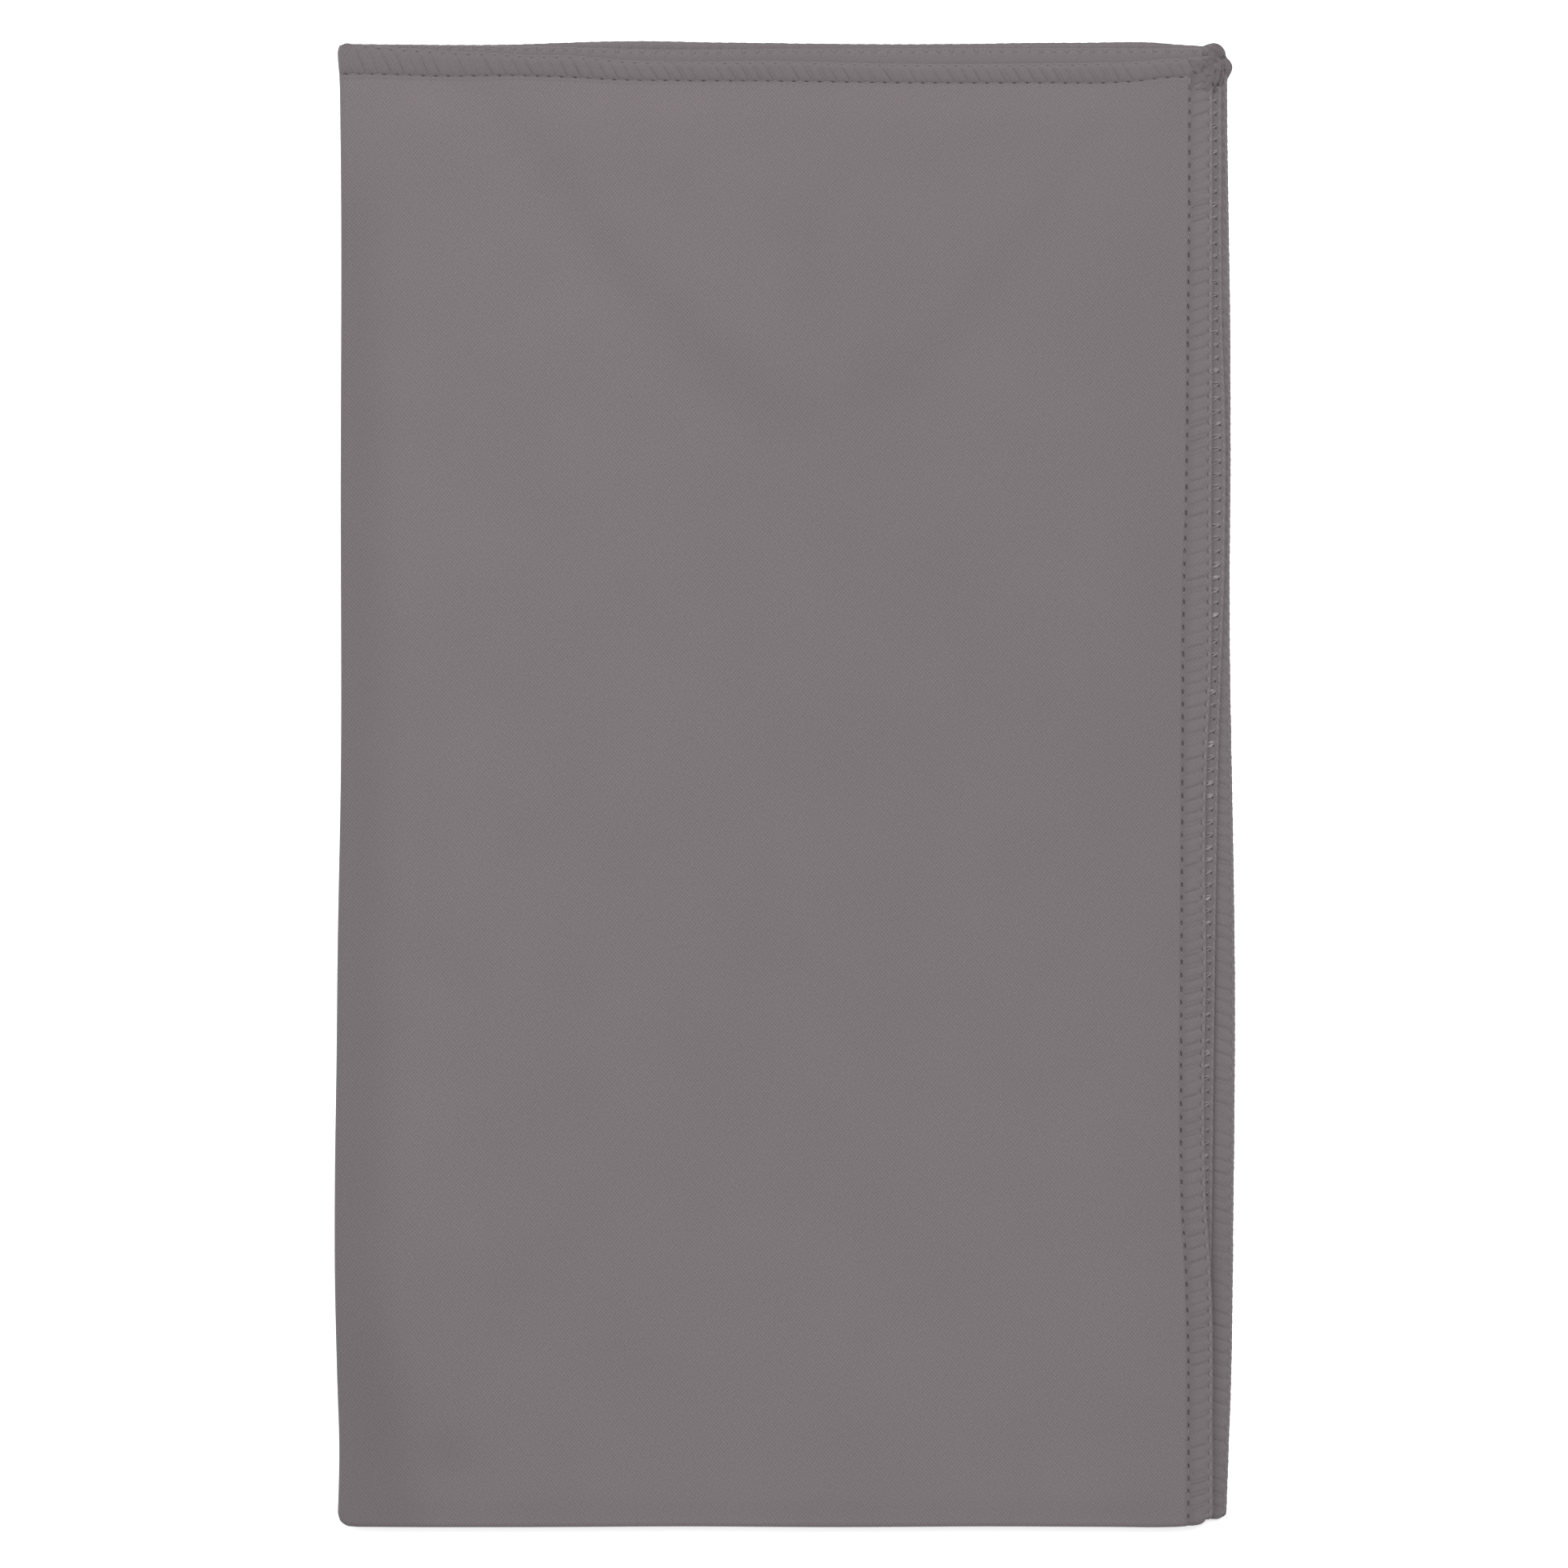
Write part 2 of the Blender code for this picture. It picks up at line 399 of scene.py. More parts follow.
THIRD = Layer(
    "third", Side.FACE_UP,
    ((-159, 89.7), (-153, 89.9), (-143, 90.25), (-127, 90.8), (-90, 91.3), (-40, 91.6), (-23, 91.4),
     (11, 90.8), (32, 90.5), (46, 90.5), (63, 90.65), (98, 90.6), (140, 90.0), (156, 89.9)),
    ((-97, 154.3), (-58, 154.2), (-35, 154.9), (-11, 154.6), (23, 154.25), (65, 154.6),
     (79, 154.6), (84, 154.2), (96, 153.5)),
)
BACK = Layer(
    "back", Side.FACE_DOWN,
    ((-159, 89.7), (-100, 89.4), (0, 89.2), (100, 88.8), (156, 88.6)),
    ((-97, 151.6), (-60, 152.6), (0, 152.8), (96, 152.6)),
    end_width=((-97, 6.8), (-93, 6.4), (-80, 4.6), (-60, 4.2), (96, 4.2)),
)
LAYERS = (FRONT, SECOND, THIRD, BACK)

# Middle lines of the folds, how far a bottom fold reaches past its line, and the size of one
# layer between its folds and its hems.
SIDE_FOLD_X = -93.0 * MM
FRONT_FOLD_Y = -157.65 * MM
BACK_FOLD_Y = -156.1 * MM
FOLD_OUTER = 1.15 * MM
SHEET_WIDTH = 0.179
SHEET_LENGTH = 0.308
# Radii of the sheets' corners at the bottom folds: beside the side fold, and beside the hem.
LEFT_RADII = {"front": 3.3 * MM, "back": 3.8 * MM}
RIGHT_RADIUS = 3.0 * MM

# How far the outer side fold's outline lies from straight, against Y, in millimetres.
SIDE_FOLD_DRIFT: Curve = (
    (-159, -0.2), (-153, 0.05), (-143, 0.25), (-127, -0.2), (-105, -0.7), (-85, -0.7), (-60, -0.35),
    (-35, -0.1), (0, 0.55), (60, 0.55), (140, 0.5), (150, 0.35), (159, -0.1),
)
# How far the front pair's bottom fold lies from straight, against X, in millimetres.
BOTTOM_FOLD_DRIFT: Curve = (
    (-96, -0.1), (-80, -0.2), (-55, -0.2), (-20, -0.05), (10, -0.2), (45, -0.05), (70, -0.15),
    (82, -0.2), (85, -0.1), (88, 0.3), (91, 1.1), (96, 2.2),
)
# How far from a fold its drift still moves the cloth, and how much less beside the side hem.
FOLD_REACH = 35 * MM
SHORTER_REACH = 26 * MM

# The outer corner of the end hems at the side fold, and its radius.
TOP_LEFT = (-95.5 * MM, 158.7 * MM)
TOP_LEFT_RADIUS = 2.3 * MM
# Outer corners of the side hems at the front and the back bottom fold, and their radii.
FRONT_CORNER = (91.7 * MM, -158.45 * MM)
BACK_CORNER = (94.8 * MM, -157.65 * MM)
FRONT_CORNER_RADIUS = 3.1 * MM
BACK_CORNER_RADIUS = 2.0 * MM
# How far the back pair's side hem is drawn down at its fold, and over what length.
BACK_DROP = 0.3 * MM
BACK_DROP_REACH = 20 * MM
# How far wrinkles may stand out of the top layer's room; no other layer lies over it.
TOP_SLACK = 0.05 * MM


@dataclass(frozen=True)
class Bend:
    """The outline of half a turn, from straight out to straight back, for a radius of 1.

    Attributes:
        power: 1 for a circle; less makes the bend fuller.
    """

    power: float

    def table(self) -> tuple[np.ndarray, np.ndarray, np.ndarray]:
        """Distances along the outline, and how far out and how far up it is there."""
        angle = np.linspace(0.0, math.pi, 1441)
        out = np.abs(np.sin(angle)) ** self.power
        up = np.sign(np.cos(angle)) * np.abs(np.cos(angle)) ** self.power
        steps = np.hypot(np.diff(out), np.diff(up))
        return np.concatenate([[0.0], np.cumsum(steps)]), out, up

    @property
    def length(self) -> float:
        """Length of the outline."""
        return float(self.table()[0][-1])

    def at(self, share: np.ndarray) -> tuple[np.ndarray, np.ndarray]:
        """How far out and how far up a point is that has passed a share of the turn."""
        run, out, up = self.table()
        distance = share * run[-1]
        return np.interp(distance, run, out), np.interp(distance, run, up)


ROUND_BEND = Bend(1.0)
FULL_BEND = Bend(0.72)
# Radius of the outer side fold, and the radius past which a fold gets the fuller shape.
OUTER_RADIUS = 2.1 * MM
LARGE_RADIUS = 1.5 * MM


@dataclass(frozen=True)
class FoldedPath:
    """A line along one layer, round a fold and back along another, and the cloth's face side.

    Attributes:
        first: The layer that it starts on, at its hemmed edge.
        last: The layer that it ends on, at its hemmed edge.
        fold: Coordinate of the fold's middle line.
        start: Coordinate where it starts.
        end: Coordinate where it ends.
    """

    first: Layer
    last: Layer
    fold: float
    start: float
    end: float

    @property
    def radius(self) -> float:
        """Radius of the cloth's middle at the fold."""
        return abs(self.first.middle - self.last.middle) / 2

    @property
    def turn_start(self) -> float:
        """Distance along the path at which the fold starts."""
        return self.start - self.fold

    @property
    def bend(self) -> Bend:
        """Shape of the fold: the thick outer one is fuller than a circle."""
        return FULL_BEND if self.radius > LARGE_RADIUS else ROUND_BEND

    @property
    def turn_end(self) -> float:
        """Distance along the path at which the fold ends."""
        return self.turn_start + self.bend.length * self.radius

    @property
    def length(self) -> float:
        """The whole path's length."""
        return self.turn_end + self.end - self.fold

    def walk(self, s: np.ndarray) -> tuple[np.ndarray, np.ndarray, np.ndarray, np.ndarray]:
        """Follows the path.

        Args:
            s: Distances from its start.

        Returns:
            The coordinate along the layers, the height, and the two parts of the direction in
            which the cloth's face side looks.
        """
        before = np.minimum(s, self.turn_start)
        after = np.maximum(s - self.turn_end, 0.0)
        upward = 1.0 if self.first.middle > self.last.middle else -1.0
        centre = (self.first.middle + self.last.middle) / 2
        sideways, up = self.bend.at(self.share(s))
        place = self.start - before - sideways * self.radius + after
        height = centre + upward * up * self.radius
        face = self.first.side.value * upward
        return place, height, -sideways * face, up * upward * face

    def share(self, s: np.ndarray) -> np.ndarray:
        """How far a point has passed from the first layer (0) to the last (1)."""
        return np.clip((s - self.turn_start) / (self.turn_end - self.turn_start), 0.0, 1.0)


def fold_drift_x(x: np.ndarray, y: np.ndarray) -> np.ndarray:
    """How far cloth near the side fold is moved along X."""
    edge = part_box("outer_side_fold_back")[0][0]
    return along_curve(SIDE_FOLD_DRIFT, y) * ramp(x, edge + FOLD_REACH, edge)


def fold_drift_y(x: np.ndarray, y: np.ndarray) -> np.ndarray:
    """How far the front pair's cloth near its bottom fold is moved along Y."""
    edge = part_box("front_bottom_fold")[0][1]
    reach = FOLD_REACH - SHORTER_REACH * ramp(x, 80 * MM, 90 * MM)
    return along_curve(BOTTOM_FOLD_DRIFT, x) * ramp(y, edge + reach, edge)


# ---------------------------------------------------------------- seams


@dataclass(frozen=True)
class SeamStyle:
    """How the hems are sewn.

    Attributes:
        pitch: Length of one stitch.
        width: From the needle line to the band's outer edge, where the layer says nothing else.
        face_rise: Height of the face side over the cloth's middle, at the band.
        back_rise: The same on the back side.
        lift: How far the whole band stands over the cloth's middle height.
        lift_reach: Distance from the needle line over which it gets there.
        dash: Length of the open slot at each needle hole.
        side_lean: How far a side hem's wrinkle moves along it for each metre outward.
        end_lean: The same on an end hem.
    """

    pitch: float = 2.75 * MM
    width: float = 4.35 * MM
    face_rise: float = 0.50 * MM
    back_rise: float = 0.36 * MM
    lift: float = 0.12 * MM
    lift_reach: float = 1.2 * MM
    dash: float = 0.92 * MM
    side_lean: float = 0.27
    end_lean: float = -0.5


STYLE = SeamStyle()


@dataclass(frozen=True)
class Seam:
    """A hem with its threads, along a path.

    Attributes:
        name: Start of the names of its pieces.
        path: Where it runs.
        along_y: Whether it runs along Y, as the side hems do, or along X.
        start: Distance along the path at which it starts.
        stop: Distance at which it stops.
        seed: Picks its random wrinkles.
    """

    name: str
    path: FoldedPath
    along_y: bool
    start: float
    stop: float
    seed: int

    @property
    def lean(self) -> float:
        """How far a wrinkle moves along the seam for each metre outward."""
        return STYLE.side_lean if self.along_y else STYLE.end_lean

    def lines(self, place: np.ndarray, share: np.ndarray) -> tuple[np.ndarray, np.ndarray]:
        """Where the needle line runs, and how much wider than usual the band is."""
        first, last = self.path.first, self.path.last
        if self.along_y:
            curves = (first.side_needle, last.side_needle, first.side_width, last.side_width)
        else:
            curves = (first.end_needle, last.end_needle, first.end_width, last.end_width)
        a, b, c, d = (along_curve(curve, place) for curve in curves)
        return a * (1 - share) + b * share, (c * (1 - share) + d * share) / STYLE.width

    def room(self, s: np.ndarray) -> tuple[np.ndarray, np.ndarray]:
        """Lowest and highest Z that the seam may use, so that no two layers' pieces meet."""
        share = self.path.share(s)
        (low_a, high_a), (low_b, high_b) = self.path.first.room, self.path.last.room
        turning = (share > 0) & (share < 1)
        low = np.where(turning, min(low_a, low_b), np.where(share <= 0, low_a, low_b))
        high = np.where(turning, max(high_a, high_b), np.where(share <= 0, high_a, high_b))
        return low, high + np.where(high >= FRONT.room[1], TOP_SLACK, 0.0)

    def place(self, s: np.ndarray, out: np.ndarray, rise: np.ndarray) -> np.ndarray:
        """Sends seam coordinates to space.

        Args:
            s: Distance along the path.
            out: Distance outward from the needle line, on a band of the usual width.
            rise: Distance from the cloth's middle towards its face side.

        Returns:
            Points, one row each.
        """
        path = self.path
        place, height, lean_along, lean_up = path.walk(s)
        place = place + lean_along * rise
        height = height + lean_up * rise + STYLE.lift * ramp(out, 0.0, STYLE.lift_reach)
        height = np.clip(height, *self.room(s))
        share = path.share(s)
        share = share * share * (3 - 2 * share)
        needle, stretch = self.lines(place, share)
        inside = np.minimum(out, STYLE.width)
        beyond = out - inside
        across = needle + np.where(inside > 0, inside * stretch, inside) + beyond
        if self.along_y:
            if path.first is FRONT:
                place = place + fold_drift_y(across, place)
            else:
                place = place - BACK_DROP * ramp(place, path.fold + BACK_DROP_REACH, path.fold)
            points = np.stack([across, place, height], axis=1)
            return round_corner(points, *self.corner, ROUND)
        place = place + fold_drift_x(place, across)
        points = np.stack([place, across, height], axis=1)
        return round_corner(points, TOP_LEFT, TOP_LEFT_RADIUS)

    @property
    def corner(self) -> tuple[tuple[float, float], float]:
        """Place and radius of the outer corner that the bottom fold makes with the hem."""
        if self.path.first is FRONT:
            return FRONT_CORNER, FRONT_CORNER_RADIUS
        return BACK_CORNER, BACK_CORNER_RADIUS

    def flat(self, s: np.ndarray, out: np.ndarray) -> np.ndarray:
        """Coordinates on the flat cloth, which the weave follows."""
        place = self.path.start - s
        if self.along_y:
            across = along_curve(self.path.first.side_needle, place) + out
            return np.stack([across, place, np.zeros_like(s)], axis=1)
        across = along_curve(self.path.first.end_needle, place) + out
        return np.stack([place, across, np.zeros_like(s)], axis=1)

    def phase(self, s: np.ndarray) -> np.ndarray:
        """Stitches passed since the path's start; a whole number is a needle hole."""
        wander = 0.10 * drift(self.seed + 1, s, 9 * MM)
        return s / STYLE.pitch + wander

    def per_stitch(self, s: np.ndarray, salt: int) -> np.ndarray:
        """A random number from 0 to 1 for the stitch that s lies in."""
        size = 1024
        values = np.random.default_rng(self.seed * 131 + salt).uniform(0.0, 1.0, size)
        return values[np.floor(self.phase(s)).astype(int) % size]


# Points across the hem, in millimetres out from the needle line: the face side, then the back.
FACE_STATIONS = (-1.6, -1.3, -1.0, -0.7, -0.48, -0.32, -0.2, -0.1, 0.0, 0.1, 0.2, 0.32, 0.5, 0.8,
                 1.2, 1.65, 2.1, 2.55, 2.95, 3.3, 3.6, 3.85, 4.05, 4.2, 4.35)
BACK_STATIONS = (4.35, 4.2, 4.05, 3.9, 3.75, 3.6, 3.45, 3.2, 2.6, 2.0, 1.2, 0.4, -0.4, -1.6)
# How far out the wrinkles' slant is read for the notches and the cord's waves, in band widths.
NOTCH_SHIFT = 1.15
# Almost straight up, so that a thread that runs straight up has a side as well.
NEARLY_UP = (0.001, 0.001, 1.0)


@dataclass(frozen=True)
class HemStyle:
    """What differs between the hems of the long sides and those of the ends.

    Attributes:
        scallop: Depth of the notches of the outer edge.
        notch: Power that shapes the notches; less makes them narrower.
        slot_length: Length of the slot at each needle hole, as a share of the usual one.
        slot_width: Its half width.
        slot_depth: Its depth.
        slot_shade: How dark the painted shade in it is.
        groove: Depth of the groove that the needle line lies in.
        height: Height of the band, as a share of the usual one.
        shoulder: How much of that height the crowns of the scallops keep.
        crease_fade: Distances from the needle line at which wrinkles are shallow and deep.
        rim_shade: How dark the painted shade along the outer edge is.
        rim_even: How much of that line there is between the notches.
        line_shade: How dark the painted shade on the cloth beside the needle line is.
        wriggle_shade: How dark the painted shade on the wriggling line between cloth and band is.
        band_shade: How dark the whole band is.
        eye_shade: How dark the painted shade in the eyes on the back side is.
    """

    scallop: float
    notch: float
    slot_length: float
    slot_width: float
    slot_depth: float
    slot_shade: float
    groove: float
    height: float
    shoulder: float
    crease_fade: tuple[float, float]
    rim_shade: float
    rim_even: float
    line_shade: float
    wriggle_shade: float
    band_shade: float
    eye_shade: float


SIDE_HEM = HemStyle(
    scallop=0.17 * MM, notch=0.8, slot_length=1.0, slot_width=0.125 * MM, slot_depth=0.60 * MM,
    slot_shade=1.2, groove=0.15 * MM, height=1.0, shoulder=0.8, crease_fade=(0.0, 1.6 * MM),
    rim_shade=0.8, rim_even=0.0, line_shade=0.09, wriggle_shade=0.0, band_shade=0.0, eye_shade=0.75,
)
END_HEM = HemStyle(
    scallop=0.40 * MM, notch=0.6, slot_length=0.62, slot_width=0.075 * MM, slot_depth=0.36 * MM,
    slot_shade=0.5, groove=0.075 * MM, height=0.6, shoulder=0.5, crease_fade=(4.2 * MM, 0.8 * MM),
    rim_shade=0.22, rim_even=0.2, line_shade=0.03, wriggle_shade=0.26, band_shade=0.055,
    eye_shade=0.25,
)


@dataclass
class HemMaker:
    """Builds the rolled band of a seam, with its needle holes, wrinkles and scalloped edge.

    Attributes:
        row: Distance between rows of points along the band.
        crease_depth: Depth of the deepest wrinkles.
        crease_shade: How dark the painted shade in them is.
        cloth_rise: Height of the face side over the cloth's middle, beside the seam.
        lip_rise: How much it rises from there to the needle line.
        band_extra: How much the band's middle stands over STYLE.face_rise.
        roll: Distance from the needle line at which the edge starts to roll down.
        deepest: How far the face side may sink below the cloth's middle.
        eye: Distance from the needle line at which the edge thread pierces the back side.
        lower_calm: How much smoother the edges of the two lower layers are.
        turn_reach: How far before and after a fold the edge grows calm.
    """

    row: float = 0.27 * MM
    crease_depth: float = 0.22 * MM
    crease_shade: float = 0.27
    cloth_rise: float = 0.30 * MM
    lip_rise: float = 0.125 * MM
    band_extra: float = 0.08 * MM
    roll: float = 2.9 * MM
    deepest: float = 0.30 * MM
    eye: float = 3.75 * MM
    lower_calm: float = 0.8
    turn_reach: float = 1.5 * MM

    def style(self, seam: Seam) -> HemStyle:
        """The style of a seam's hem."""
        return SIDE_HEM if seam.along_y else END_HEM

    def turning(self, seam: Seam, s: np.ndarray) -> np.ndarray:
        """1 in the middle of the fold, fading to 0 a little before and after it."""
        start, end = seam.path.turn_start, seam.path.turn_end
        return ramp(s, start - self.turn_reach, start) * ramp(s, end + self.turn_reach, end)

    def quiet(self, seam: Seam, s: np.ndarray) -> np.ndarray:
        """How strongly the edge is notched: less on the lower layers and round a fold."""
        share = seam.path.share(s)
        lower = share if seam.path.last is THIRD else np.zeros_like(s)
        lower = np.ones_like(s) if seam.path.first is BACK else lower
        return (1.0 - self.lower_calm * lower) * (1.0 - 0.9 * self.turning(seam, s))

    def holes(self, seam: Seam, s: np.ndarray) -> np.ndarray:
        """1 inside the slot at each needle hole, 0 between them."""
        phase = seam.phase(s)
        gap = np.abs(phase - np.round(phase)) * STYLE.pitch
        length = STYLE.dash * (0.75 + 0.4 * seam.per_stitch(s + STYLE.pitch / 2, 3))
        length = length * self.style(seam).slot_length
        return ramp(gap, length / 2 + 0.10 * MM, length / 2 - 0.14 * MM)

    def creases(self, seam: Seam, s: np.ndarray, out: np.ndarray) -> np.ndarray:
        """How deep the slanted wrinkles are: 0 on the smooth band, up to about 1."""
        curl = seam.lean * (out + 0.035 * out**2 / MM)
        slanted = seam.phase(s + curl)
        depth = 0.3 + 0.7 * seam.per_stitch(s + curl, 5)
        shift = 0.22 * drift(seam.seed + 7, s, 7 * MM)
        gap = (slanted - np.floor(slanted) - 0.5 - shift) * STYLE.pitch
        sharp = bell(gap, 0.17 * MM)
        second = bell(gap + 0.85 * MM, 0.15 * MM) * ramp(drift(seam.seed + 9, s, 5 * MM), 0.0, 0.5)
        third = bell(gap - 0.7 * MM, 0.13 * MM) * ramp(drift(seam.seed + 10, s, 4 * MM), 0.1, 0.6)
        reach = ramp(out, 0.1 * MM, 0.7 * MM) * ramp(out, 4.3 * MM, 3.0 * MM)
        fading = ramp(out, *self.style(seam).crease_fade)
        deep = (sharp * depth + 0.55 * second + 0.4 * third) * reach * (0.55 + 0.45 * fading)
        return deep * (1.0 - 0.8 * self.turning(seam, s))

    def notches(self, seam: Seam, s: np.ndarray) -> np.ndarray:
        """1 at the notch between two scallops of the outer edge, 0 at their crowns."""
        phase = seam.phase(s + seam.lean * STYLE.width * NOTCH_SHIFT) + 0.5
        return 1.0 - np.abs(np.sin(math.pi * phase)) ** self.style(seam).notch

    def crown(self, seam: Seam, s: np.ndarray, out: np.ndarray, notches: np.ndarray) -> np.ndarray:
        """How much of its height the band keeps where its edge rolls down."""
        rim = np.sqrt(np.clip(1.0 - ((out - self.roll) / (STYLE.width - self.roll)) ** 2, 0.0, 1.0))
        shoulder = np.maximum(self.style(seam).shoulder * (1 - notches), self.turning(seam, s))
        return np.where(out > self.roll, np.maximum(rim, shoulder), 1.0)

    def slots(self, seam: Seam, s: np.ndarray, out: np.ndarray) -> tuple[np.ndarray, np.ndarray]:
        """How deep the groove of the needle line and the slots in it are."""
        style = self.style(seam)
        bow = 0.07 * MM * (seam.per_stitch(s + STYLE.pitch / 2, 2) - 0.5)
        groove = bell(out - bow, 0.34 * MM) * style.groove
        return groove, bell(out - bow, style.slot_width) * self.holes(seam, s)

    def eyes(self, seam: Seam, s: np.ndarray, out: np.ndarray) -> np.ndarray:
        """1 where the edge thread pierces the back side."""
        gap = seam.phase(s) - np.floor(seam.phase(s)) - 0.5
        return bell(out - self.eye, 0.19 * MM) * bell(gap * STYLE.pitch, 0.22 * MM)

    def face_height(self, seam: Seam, s: np.ndarray, out: np.ndarray,
                    notches: np.ndarray) -> np.ndarray:
        """Height of the face side over the cloth's middle, before its edge rolls down."""
        style = self.style(seam)
        lip = ramp(out, -1.6 * MM, -0.75 * MM)
        band = ramp(out, 0.0, 2.6 * MM) * style.height
        band_rise = STYLE.face_rise + self.band_extra - self.cloth_rise - self.lip_rise
        puff = 0.05 * MM * drift(seam.seed + 11, s + 0.4 * out, 2.3 * MM)
        bulge = bell(out + 0.45 * MM, 0.3 * MM) * (0.06 * MM * self.holes(seam, s))
        groove, slot = self.slots(seam, s, out)
        pinch = notches * ramp(out, 2.6 * MM, 4.3 * MM) * 0.16 * MM
        height = self.cloth_rise + self.lip_rise * lip + (band_rise + puff) * band + bulge
        height = height - groove - slot * style.slot_depth - pinch
        return height - self.creases(seam, s, out) * self.crease_depth

    def face_shade(self, seam: Seam, s: np.ndarray, out: np.ndarray,
                   notches: np.ndarray) -> np.ndarray:
        """Painted shade on the face side: in its slots, along its rim, beside the needle line and
        in its wrinkles; the end hems' band is also darker all over.
        """
        style = self.style(seam)
        slot = self.slots(seam, s, out)[1] * style.slot_shade
        even = style.rim_even + (1 - style.rim_even) * ramp(notches, 0.3, 0.65)
        rim = bell(out - 4.3 * MM, 0.17 * MM) * style.rim_shade * self.quiet(seam, s) * even
        line = bell(out - 0.5 * MM, 0.8 * MM) * style.line_shade * ramp(out, -1.6 * MM, -0.75 * MM)
        wriggle = 0.14 * MM + 0.09 * MM * np.sin(math.tau * seam.phase(s) * 2 + 1.0)
        line = line + style.wriggle_shade * bell(out - wriggle, 0.15 * MM)
        band = style.band_shade * ramp(out, 0.0, 0.4 * MM)
        crease = self.creases(seam, s, out) * self.crease_shade
        return np.clip(slot + rim + line + band + crease, 0, 1)

    def shape(self, seam: Seam, rows: int) -> Shape:
        """The places of the band's points, on a grid of so many rows."""
        face = [(o * MM, 1.0) for o in FACE_STATIONS]
        back = [(o * MM, -1.0) for o in BACK_STATIONS]
        ring = np.array([*face, *back, face[0]])
        style = self.style(seam)

        def put(u: np.ndarray, v: np.ndarray) -> Placed:
            index = np.round(u * (len(ring) - 1)).astype(int)
            out, side = ring[index, 0], ring[index, 1]
            share, open_row = shut_ends(rows, v)
            s = seam.start + share * (seam.stop - seam.start)
            notches = self.notches(seam, s)
            crown = self.crown(seam, s, out, notches)
            eyes = self.eyes(seam, s, out)
            height = self.face_height(seam, s, out, notches)
            face_rise = np.maximum(height * crown, -self.deepest)
            back_rise = STYLE.back_rise * crown - 0.3 * MM * eyes
            rise = np.where(side > 0, face_rise, -back_rise) * open_row
            trim = ramp(out, 2.2 * MM, STYLE.width)
            outward = out - notches * style.scallop * self.quiet(seam, s) * trim
            outward = outward + 0.06 * MM * trim * drift(seam.seed + 13, s, 5 * MM)
            shade = self.face_shade(seam, s, out, notches)
            # Painted shade: the face side's hollows and the back side's eyes are darkened in
            # colour.
            cavity = np.where(side > 0, shade, eyes * style.eye_shade)
            return seam.place(s, outward, rise), {"flat": seam.flat(s, out), "cavity": cavity}

        return put

    def make(self, seam: Seam) -> bpy.types.Object:
        """Builds a seam's band."""
        columns = len(FACE_STATIONS) + len(BACK_STATIONS)
        rows = max(4, round((seam.stop - seam.start) / self.row)) + 2
        piece = grid_piece(seam.name + "_hem", columns, rows, self.shape(seam, rows))
        sharpen(piece, 75)
        return piece


